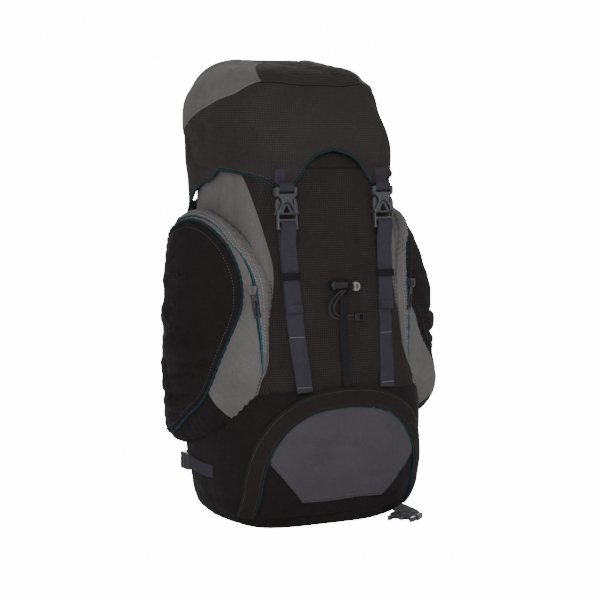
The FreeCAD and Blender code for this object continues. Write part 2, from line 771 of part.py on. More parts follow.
def makeSternum():
    top = s.rim - s.hingeDrop
    z = top - 62
    y = s.back + 68
    strap = newBody("sternum_strap")
    block("", (-s.shoulderIn - 30, -22.3), (y, y + 1.4), (z - 10, z + 10), strap)
    block("sternum_webbing", (22, s.shoulderIn + 30), (y, y + 1.4), (z - 10, z + 10))
    socket = block("sternum_socket", (-22, 2), (y - 3, y + 6), (z - 12, z + 12))
    extrude(socket, "YZ_Plane", [(y - 0.5, z - 9), (y + 3.5, z - 9), (y + 3.5, z + 9),
                                 (y - 0.5, z + 9)], -14, 2, cut=True)
    plug = block("sternum_plug", (2.6, 21.5), (y - 2, y + 5), (z - 12, z + 12))
    for low, high in ((-8, -3), (3, 8)):
        block("", (-12, 3), (y + 0.1, y + 2.9), (z + low, z + high), plug)


wingLine = [(92, 108), (99, 128), (92, 148), (70, 164), (40, 172), (10, 175)]


def makeHipWing(sign):
    side = sideName[sign]
    body = newBody(f"{side}_hip_wing")
    line = [(dim(a * sign), s.back + (b - 100)) for a, b in wingLine]
    extrude(body, "XY_Plane", ribbonOutline(line, 5.5), 74, 152)


def makeHipBelt():
    """Left webbing and socket hang behind; the right end lies along the floor."""
    y = s.back + 86
    block("left_hip_webbing", (-84, -50.3), (y, y + 1.8), (94, 94 + s.hipWebWide))
    socket = block("hip_buckle_socket", (-50, -8), (y - 3, y + 9), (88, 88 + s.hipWebWide + 12))
    extrude(socket, "YZ_Plane", [(y - 0.5, 94), (y + 6.5, 94), (y + 6.5, 94 + s.hipWebWide),
                                 (y - 0.5, 94 + s.hipWebWide)], -34, -8, cut=True)
    side = s.bagHalf + 19
    ribbon = newBody("right_hip_webbing")
    outline = [(84, 140), (96, 118), (side - 10, 96), (side, 40), (side, -60),
               (side - 10, -104), (side - 24, -124)]
    extrude(ribbon, "XY_Plane", ribbonOutline(outline, s.hipWebWide / 2), 0, 1.8)
    plug = newBody("hip_buckle_plug")
    extrude(plug, "XY_Plane", [(-23, -22), (23, -22), (23, 0), (-23, 0)], 0, 10)
    extrude(plug, "XY_Plane", [(-18, -16), (18, -16), (18, -8), (-18, -8)], -1, 11, cut=True)
    for low, high in ((-20, -12), (12, 20)):
        extrude(plug, "XY_Plane", [(low, -46), (high, -46), (high, -21), (low, -21)], 1.5, 8.5)
    plug.Placement.Rotation = Rotation(Vector(0, 0, 1), -52)
    bind(plug, "Placement.Base.x", side - 27)
    bind(plug, "Placement.Base.y", dim(-130))


def makeHaulLoop():
    body = newBody("haul_loop")
    top = s.rim - s.hingeDrop
    line = [(-26, s.back + 3.4), (-26, s.back + 20), (-16, s.back + 32), (0, s.back + 36),
            (16, s.back + 32), (26, s.back + 20), (26, s.back + 3.4)]
    extrude(body, "XY_Plane", ribbonOutline(line, 2), top - 29, top - 8)


makeBag()
makeCollar()
makeLid()
makeLidTabs()
zipTapes = []
for sideSign in (-1, 1):
    makeBuckle(sideSign)
    makeLidStrap(sideSign)
    zipTapes.append(makePocket(sideSign))
    makeShoulderStrap(sideSign)
    makeHipWing(sideSign)
makePocketZips(zipTapes)
makeToolHolder()
makeCompressionStraps()
makeLabel()
makeFrame()
makePads()
makeShoulderWebbing()
makeSternum()
makeHipBelt()
makeHaulLoop()
doc.recompute()

for obj in doc.Objects:
    if "Invalid" in obj.State or "Error" in obj.State:
        raise RuntimeError(f"{obj.Label} failed: {obj.State}")
os.makedirs("parts", exist_ok=True)
for part in subparts:
    if part.Shape.isNull() or not part.Shape.isValid():
        raise RuntimeError(f"{part.Label} has no valid shape")
    part.Shape.exportStep(f"parts/{part.Label}.step")
print(len(subparts), "nodes")
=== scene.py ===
import math
import bmesh
import bpy
import numpy as np
from mathutils import Matrix, Vector


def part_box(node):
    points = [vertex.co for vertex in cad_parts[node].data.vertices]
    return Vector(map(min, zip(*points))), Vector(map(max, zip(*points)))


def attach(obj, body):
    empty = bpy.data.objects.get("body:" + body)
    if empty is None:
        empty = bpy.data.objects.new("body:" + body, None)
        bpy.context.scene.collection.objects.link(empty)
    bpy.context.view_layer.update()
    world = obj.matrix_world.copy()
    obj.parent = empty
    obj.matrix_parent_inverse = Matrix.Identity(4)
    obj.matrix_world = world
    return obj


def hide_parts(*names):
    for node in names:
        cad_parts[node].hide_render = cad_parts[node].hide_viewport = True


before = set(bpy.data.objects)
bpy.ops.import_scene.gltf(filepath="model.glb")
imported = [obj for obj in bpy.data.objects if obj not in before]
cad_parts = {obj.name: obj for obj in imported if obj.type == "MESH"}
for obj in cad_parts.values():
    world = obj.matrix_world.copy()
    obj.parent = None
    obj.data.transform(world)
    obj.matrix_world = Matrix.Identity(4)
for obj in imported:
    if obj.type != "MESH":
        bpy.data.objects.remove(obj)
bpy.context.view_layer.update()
mm = 0.001

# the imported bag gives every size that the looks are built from
bagLow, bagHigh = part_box("main_bag")
bagHalf = bagHigh.x
bagFront = -bagLow.y
bagRear = bagHigh.y
rimUp = bagHigh.z
print("frame loaded", [round(v, 3) for v in (bagHalf, bagFront, bagRear, rimUp)])


# small maths

def smoothTable(x, xs, ys):
    # smooth curve through a table, flat beyond its ends
    xs, ys = np.asarray(xs, float), np.asarray(ys, float)
    slope = np.gradient(ys, xs)
    x = np.clip(x, xs[0], xs[-1])
    i = np.clip(np.searchsorted(xs, x) - 1, 0, len(xs) - 2)
    h = xs[i + 1] - xs[i]
    t = (x - xs[i]) / h
    a, b = ys[i], ys[i + 1]
    p, q = slope[i] * h, slope[i + 1] * h
    return (2 * t**3 - 3 * t**2 + 1) * a + (t**3 - 2 * t**2 + t) * p \
        + (3 * t**2 - 2 * t**3) * b + (t**3 - t**2) * q


def curveThrough(points, count):
    # evenly spread points on a smooth curve through the given ones
    p = np.asarray(points, float)
    spans = len(p) - 1
    t = np.linspace(0, spans, spans * 24 + 1)
    i = np.minimum(t.astype(int), spans - 1)
    f = (t - i)[:, None]

    def at(k):
        return p[np.clip(k, 0, spans)]

    a, b, c, d = at(i - 1), at(i), at(i + 1), at(i + 2)
    fine = 0.5 * (2 * b + (c - a) * f + (2 * a - 5 * b + 4 * c - d) * f**2
                  + (3 * b - a - 3 * c + d) * f**3)
    return evenly(fine, count)


def evenly(points, count):
    run = runOf(points)
    want = np.linspace(0, run[-1], count)
    return np.stack([np.interp(want, run, points[:, k]) for k in range(points.shape[1])], 1)


def runOf(points):
    # how far along the line each point is
    return np.concatenate([[0], np.cumsum(np.linalg.norm(np.diff(points, axis=0), axis=1))])


def middleOf(low, high):
    return tuple((a + b) / 2 for a, b in zip(low, high))


def sideOf(sign):
    return "right" if sign > 0 else "left"


def rightOnly(sign, node):
    # both sides of the bag share one node, replaced by the right side's piece
    return [node] if sign > 0 else []


def unit(v):
    return v / np.maximum(np.linalg.norm(v, axis=-1, keepdims=True), 1e-9)


def softNoise(points, size, seed):
    # smooth random values between -1 and 1; size is one length or one per axis
    p = np.asarray(points, float) / np.asarray(size, float) + seed * 17.31
    cell = np.floor(p)
    f = p - cell
    f = f * f * (3 - 2 * f)
    total = 0
    for dx in (0, 1):
        for dy in (0, 1):
            for dz in (0, 1):
                c = cell + (dx, dy, dz)
                h = np.sin(c[..., 0] * 127.1 + c[..., 1] * 311.7 + c[..., 2] * 74.7) * 43758.5453
                value = (h - np.floor(h)) * 2 - 1
                weight = np.abs(1 - dx - f[..., 0]) * np.abs(1 - dy - f[..., 1]) \
                    * np.abs(1 - dz - f[..., 2])
                total = total + value * weight
    return total


def crease(points, size, seed):
    # sharp-bottomed folds: high between creases, low in them
    return 0.6 - 1.6 * (1 - np.abs(softNoise(points, size, seed)))**3


def bump(x, middle, width):
    return np.exp(-((x - middle) / width)**2)


def step01(x, low, high):
    t = np.clip((x - low) / (high - low), 0, 1)
    return t * t * (3 - 2 * t)


# mesh making

def linked(name, mesh, material):
    obj = bpy.data.objects.new(name, mesh)
    bpy.context.scene.collection.objects.link(obj)
    for m in material if isinstance(material, list) else [material]:
        mesh.materials.append(m)
    return obj


def sheetMesh(name, grid, material, uv=None, closed=False, panel=None, flip=False):
    # grid is rows x columns x 3; closed joins the last column to the first
    rows, cols = grid.shape[:2]
    index = np.arange(rows * cols).reshape(rows, cols)
    right = np.roll(index, -1, 1) if closed else index[:, 1:]
    left = index if closed else index[:, :-1]
    quads = np.stack([left[:-1], right[:-1], right[1:], left[1:]], -1).reshape(-1, 4)
    if flip:
        quads = quads[:, ::-1]
    mesh = bpy.data.meshes.new(name)
    mesh.from_pydata(grid.reshape(-1, 3).tolist(), [], quads.tolist())
    if uv is None:
        along = runOf(grid.mean(1))
        across = runOf(grid[rows // 2])
        uv = np.stack(np.broadcast_arrays(across[None, :], along[:, None]), -1)
    layer = mesh.uv_layers.new(name="cloth")
    corners = np.array([loop.vertex_index for loop in mesh.loops])
    flatUv = uv.reshape(-1, 2)[corners]
    layer.data.foreach_set("uv", flatUv.ravel())
    mesh.polygons.foreach_set("use_smooth", [True] * len(mesh.polygons))
    obj = linked(name, mesh, material)
    if panel is not None:
        mesh.polygons.foreach_set("material_index", panel.ravel().astype(int))
    return obj


def bakeModifiers(obj):
    graph = bpy.context.evaluated_depsgraph_get()
    mesh = bpy.data.meshes.new_from_object(obj.evaluated_get(graph))
    obj.modifiers.clear()
    obj.data = mesh
    return obj


def thicken(obj, thick, offset=-1, lining=0, soft=False):
    # lining is how many materials further on the inner face's one is
    mod = obj.modifiers.new("cloth", "SOLIDIFY")
    mod.thickness = thick
    mod.offset = offset
    mod.material_offset = lining
    if soft:
        obj.modifiers.new("soft", "SUBSURF").levels = 1
    return bakeModifiers(obj)


def gridNormals(grid, closed=False):
    if closed:
        du = np.roll(grid, -1, 1) - np.roll(grid, 1, 1)
    else:
        du = np.gradient(grid, axis=1)
    dv = np.gradient(grid, axis=0)
    return unit(np.cross(du, dv))


def tube(name, points, radius, material, closed=False):
    sides = 8
    points = np.asarray(points, float)
    ahead = unit(np.roll(points, -1, 0) - np.roll(points, 1, 0)) if closed else \
        unit(np.gradient(points, axis=0))
    up = np.array([0.31, 0.2, 0.93])
    side = unit(np.cross(ahead, up))
    for i in range(1, len(side)):
        s = side[i - 1] - ahead[i] * np.dot(side[i - 1], ahead[i])
        side[i] = s / max(np.linalg.norm(s), 1e-9)
    other = np.cross(ahead, side)
    angle = np.linspace(0, 2 * math.pi, sides, endpoint=False)
    ring = side[:, None] * np.cos(angle)[None, :, None] + other[:, None] * np.sin(angle)[None, :,
            None]
    r = np.broadcast_to(np.asarray(radius, float), (len(points),))[:, None, None]
    grid = points[:, None] + ring * r
    if closed:
        grid = np.concatenate([grid, grid[:1]], 0)
    else:
        grid = np.concatenate([points[:1, None].repeat(sides, 1), grid,
                               points[-1:, None].repeat(sides, 1)], 0)
    obj = sheetMesh(name, grid, material, closed=True)
    return obj


def ribbon(name, points, outward, width, thick, material, ends=True):
    # a flat strap with soft edges along points; outward is its face's direction
    points = np.asarray(points, float)
    ahead = unit(np.gradient(points, axis=0))
    face = np.broadcast_to(np.asarray(outward, float), points.shape)
    across = unit(np.cross(ahead, face))
    face = unit(np.cross(across, ahead))
    half = np.broadcast_to(np.asarray(width, float) / 2, (len(points),))[:, None, None]
    t = thick / 2
    profile = [(-1, 0), (-0.97, 0.8), (-0.9, 1), (-0.45, 1.0), (0, 1.0), (0.45, 1.0), (0.9, 1),
               (0.97, 0.8), (1, 0), (0.97, -0.8), (0.9, -1), (0, -1), (-0.9, -1), (-0.97, -0.8)]
    a = np.array([p[0] for p in profile])[None, :, None]
    b = np.array([p[1] for p in profile])[None, :, None]
    grid = points[:, None] + across[:, None] * a * half + face[:, None] * b * t
    run = runOf(points)
    uv = np.stack(np.broadcast_arrays(a[..., 0] * half[..., 0], run[:, None]), -1)
    if ends:
        middle = points[:, None].repeat(len(profile), 1)
        grid = np.concatenate([middle[:1], grid, middle[-1:]], 0)
        uv = np.concatenate([uv[:1], uv, uv[-1:]], 0)
    return sheetMesh(name, grid, material, uv=uv, closed=True)


def joinPieces(name, pieces):
    for obj in bpy.context.selected_objects:
        obj.select_set(False)
    for obj in pieces:
        obj.select_set(True)
    bpy.context.view_layer.objects.active = pieces[0]
    bpy.ops.object.join()
    pieces[0].name = name
    pieces[0].data.name = name
    return pieces[0]


def oblong(x0, z0, x1, z1):
    return [(x0, z0), (x1, z0), (x1, z1), (x0, z1)]


def rounded(points, radius):
    # polygon with its corners rounded, each radius limited by its sides
    steps = 4
    p = np.asarray(points, float)
    out = []
    for i in range(len(p)):
        a, b, c = p[i - 1], p[i], p[(i + 1) % len(p)]
        cut = min(radius, 0.45 * np.linalg.norm(a - b), 0.45 * np.linalg.norm(c - b))
        first = b + (a - b) / np.linalg.norm(a - b) * cut
        last = b + (c - b) / np.linalg.norm(c - b) * cut
        for k in range(steps + 1):
            t = k / steps
            out.append((1 - t)**2 * first + 2 * t * (1 - t) * b + t**2 * last)
    return np.array(out)


def moulded(name, outlines, thick, edge, material, place):
    # a moulded plate with rounded edges: outlines are the outside and then its holes
    curve = bpy.data.curves.new(name, "CURVE")
    curve.dimensions = "2D"
    curve.fill_mode = "BOTH"
    curve.extrude = max(thick / 2 - edge, 1e-5)
    curve.bevel_depth = edge
    curve.offset = -edge
    curve.bevel_resolution = 2
    for outline in outlines:
        spline = curve.splines.new("POLY")
        spline.points.add(len(outline) - 1)
        for point, (x, y) in zip(spline.points, outline):
            point.co = (x, y, 0, 1)
        spline.use_cyclic_u = True
    holder = bpy.data.objects.new(name, curve)
    bpy.context.scene.collection.objects.link(holder)
    bpy.context.view_layer.update()
    graph = bpy.context.evaluated_depsgraph_get()
    mesh = bpy.data.meshes.new_from_object(holder.evaluated_get(graph))
    bpy.data.objects.remove(holder)
    mesh.transform(place)
    mesh.materials.clear()
    obj = linked(name, mesh, material)
    for polygon in mesh.polygons:
        polygon.use_smooth = True
    mod = obj.modifiers.new("edges", "WEIGHTED_NORMAL")
    mod.keep_sharp = True
    return obj


def stitches(name, points, normals, material, pitch=0.0035, long=0.0022, radius=0.00035):
    # a row of thread stitches along a line on the cloth
    run = runOf(points)
    starts = np.arange(0.001, run[-1] - long, pitch)
    verts, faces = [], []
    for s in starts:
        spot = [np.array([np.interp(s + d, run, points[:, k]) for k in range(3)])
                for d in (0, long / 2, long)]
        up = np.array([np.interp(s, run, normals[:, k]) for k in range(3)])
        up = up / np.linalg.norm(up)
        ahead = spot[2] - spot[0]
        ahead = ahead / np.linalg.norm(ahead)
        side = np.cross(up, ahead)
        base = len(verts)
        lift = (0.1, 1.0, 0.1)
        for p, h in zip(spot, lift):
            verts += [p - side * radius, p + up * radius * 1.6 * h, p + side * radius]
        for k in (0, 3):
            faces += [(base + k, base + k + 3, base + k + 4, base + k + 1),
                      (base + k + 1, base + k + 4, base + k + 5, base + k + 2)]
    mesh = bpy.data.meshes.new(name)
    mesh.from_pydata([tuple(v) for v in verts], [], faces)
    mesh.polygons.foreach_set("use_smooth", [True] * len(mesh.polygons))
    return linked(name, mesh, material)


def settle(obj, body, *nodes, slot=None):
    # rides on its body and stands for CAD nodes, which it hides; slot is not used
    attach(obj, body)
    if nodes:
        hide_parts(*nodes)
    return obj


# shared effects are node groups, placed in each material with its own values

def add(tree, kind, values=None, **settings):
    node = tree.nodes.new(kind)
    for key, value in settings.items():
        setattr(node, key, value)
    for key, value in (values or {}).items():
        if isinstance(value, bpy.types.NodeSocket):
            tree.links.new(value, node.inputs[key])
        else:
            node.inputs[key].default_value = value
    return node


def calc(tree, operation, a, b=0.0, c=0.0):
    return add(tree, "ShaderNodeMath", {0: a, 1: b, 2: c}, operation=operation).outputs[0]


def effectGroup(name, inputs, outputs):
    tree = bpy.data.node_groups.new(name, "ShaderNodeTree")
    for label, kind, value in inputs:
        socket = tree.interface.new_socket(label, in_out="INPUT", socket_type=kind)
        if value is not None:
            socket.default_value = value
    for label in outputs:
        tree.interface.new_socket(label, in_out="OUTPUT", socket_type="NodeSocketFloat")
    source = tree.nodes.new("NodeGroupInput").outputs
    target = tree.nodes.new("NodeGroupOutput").inputs
    return tree, source, target


number = "NodeSocketFloat"
place = ("Place", "NodeSocketVector", None)


def makeWeave():
    tree, given, result = effectGroup("threadWeave", [place, ("Pitch", number, 0.0008)], ["Height"])
    turns = calc(tree, "DIVIDE", 2 * math.pi, given["Pitch"])
    spot = add(tree, "ShaderNodeVectorMath", {0: given["Place"], "Scale": turns}, operation="SCALE")
    axes = add(tree, "ShaderNodeSeparateXYZ", {0: spot.outputs[0]}).outputs
    over = calc(tree, "MULTIPLY", calc(tree, "SINE", axes[0]), calc(tree, "SINE", axes[1]))
    tree.links.new(calc(tree, "MULTIPLY_ADD", over, 0.5, 0.5), result["Height"])
    return tree


def makeRipstop():
    tree, given, result = effectGroup("ripstopGrid", [place, ("Pitch", number, 0.005),
                                                      ("Line", number, 0.12)], ["Mask"])
    scale = calc(tree, "DIVIDE", 1.0, given["Pitch"])
    spot = add(tree, "ShaderNodeVectorMath", {0: given["Place"], "Scale": scale}, operation="SCALE")
    axes = add(tree, "ShaderNodeSeparateXYZ", {0: spot.outputs[0]}).outputs
    lines = []
    for axis in (axes[0], axes[1]):
        away = calc(tree, "PINGPONG", axis, 0.5)
        lines.append(add(tree, "ShaderNodeMapRange", {"Value": away, "From Min": 0.0,
                         "From Max": given["Line"], "To Min": 1.0, "To Max": 0.0}).outputs[0])
    tree.links.new(calc(tree, "MAXIMUM", lines[0], lines[1]), result["Mask"])
    return tree


def makeTone():
    tree, given, result = effectGroup("wornTone", [place, ("Size", number, 0.06),
                                                   ("Amount", number, 0.3)], ["Tone", "Dust"])
    scale = calc(tree, "DIVIDE", 1.0, given["Size"])
    wide = add(tree, "ShaderNodeTexNoise", {"Vector": given["Place"], "Scale": scale,
                                            "Detail": 4.0, "Roughness": 0.6}).outputs[0]
    fine = add(tree, "ShaderNodeTexNoise", {"Vector": given["Place"], "Scale": 520.0,
                                            "Detail": 2.0}).outputs[0]
    both = calc(tree, "MULTIPLY_ADD", fine, 0.55, calc(tree, "MULTIPLY", wide, 0.9))
    shifted = calc(tree, "SUBTRACT", both, 0.725)
    tree.links.new(calc(tree, "MULTIPLY_ADD", shifted, given["Amount"], 1.0), result["Tone"])
    speck = add(tree, "ShaderNodeTexNoise", {"Vector": given["Place"], "Scale": 900.0,
                                             "Detail": 1.0}).outputs[0]
    dust = add(tree, "ShaderNodeMapRange",
            {"Value": speck, "From Min": 0.66, "From Max": 0.78}).outputs[0]
    tree.links.new(dust, result["Dust"])
    return tree


def makeRibs():
    # webbing: ribs across its width with a finer thread along it
    tree, given, result = effectGroup("webbingRibs", [place, ("Pitch", number, 0.0016)], ["Height"])
    turns = calc(tree, "DIVIDE", 2 * math.pi, given["Pitch"])
    spot = add(tree, "ShaderNodeVectorMath", {0: given["Place"], "Scale": turns}, operation="SCALE")
    axes = add(tree, "ShaderNodeSeparateXYZ", {0: spot.outputs[0]}).outputs
    long = calc(tree, "SINE", calc(tree, "MULTIPLY", axes[0], 0.8))
    row = calc(tree, "SINE", calc(tree, "ADD", axes[1], calc(tree, "MULTIPLY", long, 0.9)))
    both = calc(tree, "MULTIPLY_ADD", long, 0.25, calc(tree, "MULTIPLY", row, 0.25))
    tree.links.new(calc(tree, "ADD", both, 0.5), result["Height"])
    return tree


def makeEdgeWear():
    tree, given, result = effectGroup("edgeWear", [("Start", number, 0.53), ("End", number, 0.62)],
                                      ["Mask"])
    sharp = tree.nodes.new("ShaderNodeNewGeometry").outputs["Pointiness"]
    mask = add(tree, "ShaderNodeMapRange", {"Value": sharp, "From Min": given["Start"],
                                            "From Max": given["End"]}).outputs[0]
    tree.links.new(mask, result["Mask"])
    return tree


def makeGrain():
    tree, given, result = effectGroup("mouldGrain", [place, ("Size", number, 0.0006)],
                                      ["Height", "Smear"])
    scale = calc(tree, "DIVIDE", 1.0, given["Size"])
    grain = add(tree, "ShaderNodeTexNoise", {"Vector": given["Place"], "Scale": scale,
                                             "Detail": 2.0}).outputs[0]
    smear = add(tree, "ShaderNodeTexNoise", {"Vector": given["Place"], "Scale": 60.0,
                                             "Detail": 3.0}).outputs[0]
    tree.links.new(grain, result["Height"])
    tree.links.new(smear, result["Smear"])
    return tree


weaveEffect, ripstopEffect, toneEffect = makeWeave(), makeRipstop(), makeTone()
ribEffect, wearEffect, grainEffect = makeRibs(), makeEdgeWear(), makeGrain()


def newFinish(name, rough, **plain):
    material = bpy.data.materials.new(name)
    material.use_nodes = True
    tree = material.node_tree
    shader = tree.nodes["Principled BSDF"]
    shader.inputs["Roughness"].default_value = rough
    for key, value in plain.items():
        shader.inputs[key.replace("_", " ")].default_value = value
    return material, tree, shader


def placed(tree, effect, values):
    node = tree.nodes.new("ShaderNodeGroup")
    node.node_tree = effect
    for key, value in values.items():
        if isinstance(value, bpy.types.NodeSocket):
            tree.links.new(value, node.inputs[key])
        else:
            node.inputs[key].default_value = value
    return node.outputs


def blendColour(tree, mask, dark, light):
    node = tree.nodes.new("ShaderNodeMix")
    node.data_type = "RGBA"
    tree.links.new(mask, node.inputs["Factor"])
    for socket, colour in ((node.inputs[6], dark), (node.inputs[7], light)):
        if isinstance(colour, bpy.types.NodeSocket):
            tree.links.new(colour, socket)
        else:
            socket.default_value = (*colour, 1)
    return node.outputs[2]


def toned(tree, colour, tone):
    # colour made lighter or darker by a varying tone around 1
    node = add(tree, "ShaderNodeVectorMath", {0: colour if isinstance(colour, bpy.types.NodeSocket)
                                              else tuple(colour), "Scale": tone}, operation="SCALE")
    return node.outputs[0]


def clothFinish(name, colour, rough=0.85, pitch=0.0009, grid=0, gridLight=1.5, gridLine=0.16,
                size=0.05, tone=0.35, bumpy=0.35, sheen=0.03, dust=0.0, ribs=False, solid=False,
                wear=0.0):
    material, tree, shader = newFinish(name, rough, Sheen_Weight=sheen, Sheen_Roughness=0.5,
                                       Specular_IOR_Level=0.08)
    coords = tree.nodes.new("ShaderNodeTexCoord").outputs
    flat = coords["Object"] if solid else coords["UV"]
    worn = placed(tree, toneEffect, {"Place": coords["Object"], "Size": size, "Amount": tone})
    if ribs:
        height = placed(tree, ribEffect, {"Place": flat, "Pitch": pitch})["Height"]
    else:
        height = placed(tree, weaveEffect, {"Place": flat, "Pitch": pitch})["Height"]
    base = tuple(colour)
    if grid:
        mask = placed(tree, ripstopEffect, {"Place": flat, "Pitch": grid, "Line": gridLine})["Mask"]
        base = blendColour(tree, mask, colour, [c * gridLight for c in colour])
        height = calc(tree, "MULTIPLY_ADD", mask, 0.8, height)
    shade = calc(tree, "MULTIPLY", worn["Tone"], calc(tree, "MULTIPLY_ADD", height, 0.22, 0.86))
    base = toned(tree, base, shade)
    if wear:
        mask = placed(tree, wearEffect, {})["Mask"]
        base = blendColour(tree, calc(tree, "MULTIPLY", mask, wear), base,
                           [c * 2.2 + 0.01 for c in colour])
    if dust:
        base = blendColour(tree, calc(tree, "MULTIPLY", worn["Dust"], dust), base,
                (0.3, 0.29, 0.28))
    tree.links.new(base, shader.inputs["Base Color"])
    rougher = calc(tree, "MULTIPLY_ADD", worn["Tone"], 0.12, rough - 0.12)
    tree.links.new(rougher, shader.inputs["Roughness"])
    bumpNode = add(tree, "ShaderNodeBump", {"Height": height, "Strength": bumpy,
                                            "Distance": 0.0004})
    tree.links.new(bumpNode.outputs[0], shader.inputs["Normal"])
    return material


def mouldedFinish(name, colour, rough=0.4, size=0.0005, metal=0.0, coat=0.0):
    worn, bumpy = 0.25, 0.12
    material, tree, shader = newFinish(name, rough, Metallic=metal, Coat_Weight=coat,
                                       Coat_Roughness=0.2, Specular_IOR_Level=0.3)
    spot = tree.nodes.new("ShaderNodeTexCoord").outputs["Object"]
    grain = placed(tree, grainEffect, {"Place": spot, "Size": size})
    mask = placed(tree, wearEffect, {})["Mask"]
    shade = calc(tree, "MULTIPLY_ADD", grain["Smear"], 0.3, 0.85)
    base = toned(tree, tuple(colour), shade)
    base = blendColour(tree, calc(tree, "MULTIPLY", mask, worn), base,
                       [min(1, c * 2.0 + 0.002) for c in colour])
    tree.links.new(base, shader.inputs["Base Color"])
    tree.links.new(calc(tree, "MULTIPLY_ADD", grain["Smear"], 0.22, rough - 0.11),
                   shader.inputs["Roughness"])
    bumpNode = add(tree, "ShaderNodeBump", {"Height": grain["Height"], "Strength": bumpy,
                                            "Distance": 0.0002})
    tree.links.new(bumpNode.outputs[0], shader.inputs["Normal"])
    return material


flapCloth = clothFinish("blackFlap", (0.021, 0.0175, 0.0165), rough=0.8, tone=0.45, dust=0.06,
                        wear=0.1)
ripstop = clothFinish("blackRipstop", (0.0205, 0.0172, 0.0162), grid=0.0034, gridLight=1.7,
                      rough=0.8, sheen=0.02, tone=0.5, dust=0.07, wear=0.08)
# the lid's cloth is the black ripstop painted lighter: painted light, as the lid's front faces the
# key lamp
paintedLightLidCloth = clothFinish("blackLidClothPaintedLight", (0.0305, 0.0262, 0.0252), grid=0.0034, gridLight=1.45,
                       rough=0.8, sheen=0.02, tone=0.55, dust=0.06, wear=0.1)
packCloth = clothFinish("blackPackCloth", (0.0145, 0.0122, 0.012), rough=0.7, sheen=0.02,
                        tone=0.5, pitch=0.0008, dust=0.05, wear=0.1)
greyTwill = clothFinish("greyTwill", (0.134, 0.126, 0.1245), pitch=0.0011, tone=0.6, sheen=0.08,
                        bumpy=0.5, dust=0.15, wear=0.12)
slateCloth = clothFinish("slatePatch", (0.07, 0.066, 0.075), pitch=0.001, tone=0.4, dust=0.15)
liningCloth = clothFinish("greyLining", (0.15, 0.15, 0.155), rough=0.6, pitch=0.0007, solid=True)
webbingCloth = clothFinish("slateWebbing", (0.0425, 0.039, 0.0525), ribs=True, pitch=0.0022,
                           bumpy=0.7, sheen=0.03, tone=0.35, size=0.02, dust=0.1)
darkWebbing = clothFinish("darkWebbing", (0.0175, 0.017, 0.02), ribs=True, pitch=0.002, bumpy=0.7,
                          tone=0.35, size=0.02)
elasticCloth = clothFinish("blackElastic", (0.015, 0.015, 0.0165), ribs=True, pitch=0.0012,
        bumpy=0.8)
pipingCloth = clothFinish("tealPiping", (0.011, 0.0325, 0.0375), pitch=0.001, rough=0.6, tone=0.3)
zipTape = clothFinish("zipTape", (0.02, 0.0225, 0.025), ribs=True, pitch=0.0015, rough=0.6)
tealZip = clothFinish("tealZip", (0.02, 0.11, 0.15), ribs=True, pitch=0.0016, rough=0.5, bumpy=1.0)
meshCloth = clothFinish("spacerMesh", (0.0175, 0.0175, 0.018), grid=0.004, gridLight=0.35,
        gridLine=0.3,
                        solid=True, bumpy=0.9, rough=0.9)
padCloth = clothFinish("padFacing", (0.0175, 0.0165, 0.0175), solid=True, pitch=0.001, tone=0.5)
cordSheath = clothFinish("greyCord", (0.04, 0.04, 0.045), ribs=True, pitch=0.0016, solid=True,
                         bumpy=0.8, rough=0.7)
threadWhite = clothFinish("whiteThread", (0.35, 0.35, 0.34), solid=True, pitch=0.0005, rough=0.7)
threadGrey = clothFinish("greyThread", (0.11, 0.11, 0.1125), solid=True, pitch=0.0005, rough=0.7)
blueTag = clothFinish("blueTag", (0.024, 0.34, 0.6), pitch=0.0008, rough=0.55, sheen=0.1, tone=0.2)
greyPlastic = mouldedFinish("greyMoulding", (0.055, 0.055, 0.0625), rough=0.3, coat=0.2)
palePlastic = mouldedFinish("paleMoulding", (0.25, 0.245, 0.24), rough=0.36)
blackPlastic = mouldedFinish("blackMoulding", (0.016, 0.016, 0.018), rough=0.36)
sheetPlastic = mouldedFinish("backSheet", (0.03, 0.03, 0.0325), rough=0.5, size=0.002)
zipMetal = mouldedFinish("blackenedZinc", (0.07, 0.07, 0.075), rough=0.34, metal=0.5)
alloy = mouldedFinish("stayAlloy", (0.576, 0.576, 0.594), rough=0.3, metal=1.0, size=0.0015)
print("finishes made")


# floor, light and camera

studio = {"azimuth": -30.0, "elevation": 5.0, "distance": 3.0, "lens": 119.7,
          "aside": 0.0146, "aimUp": 0.322}


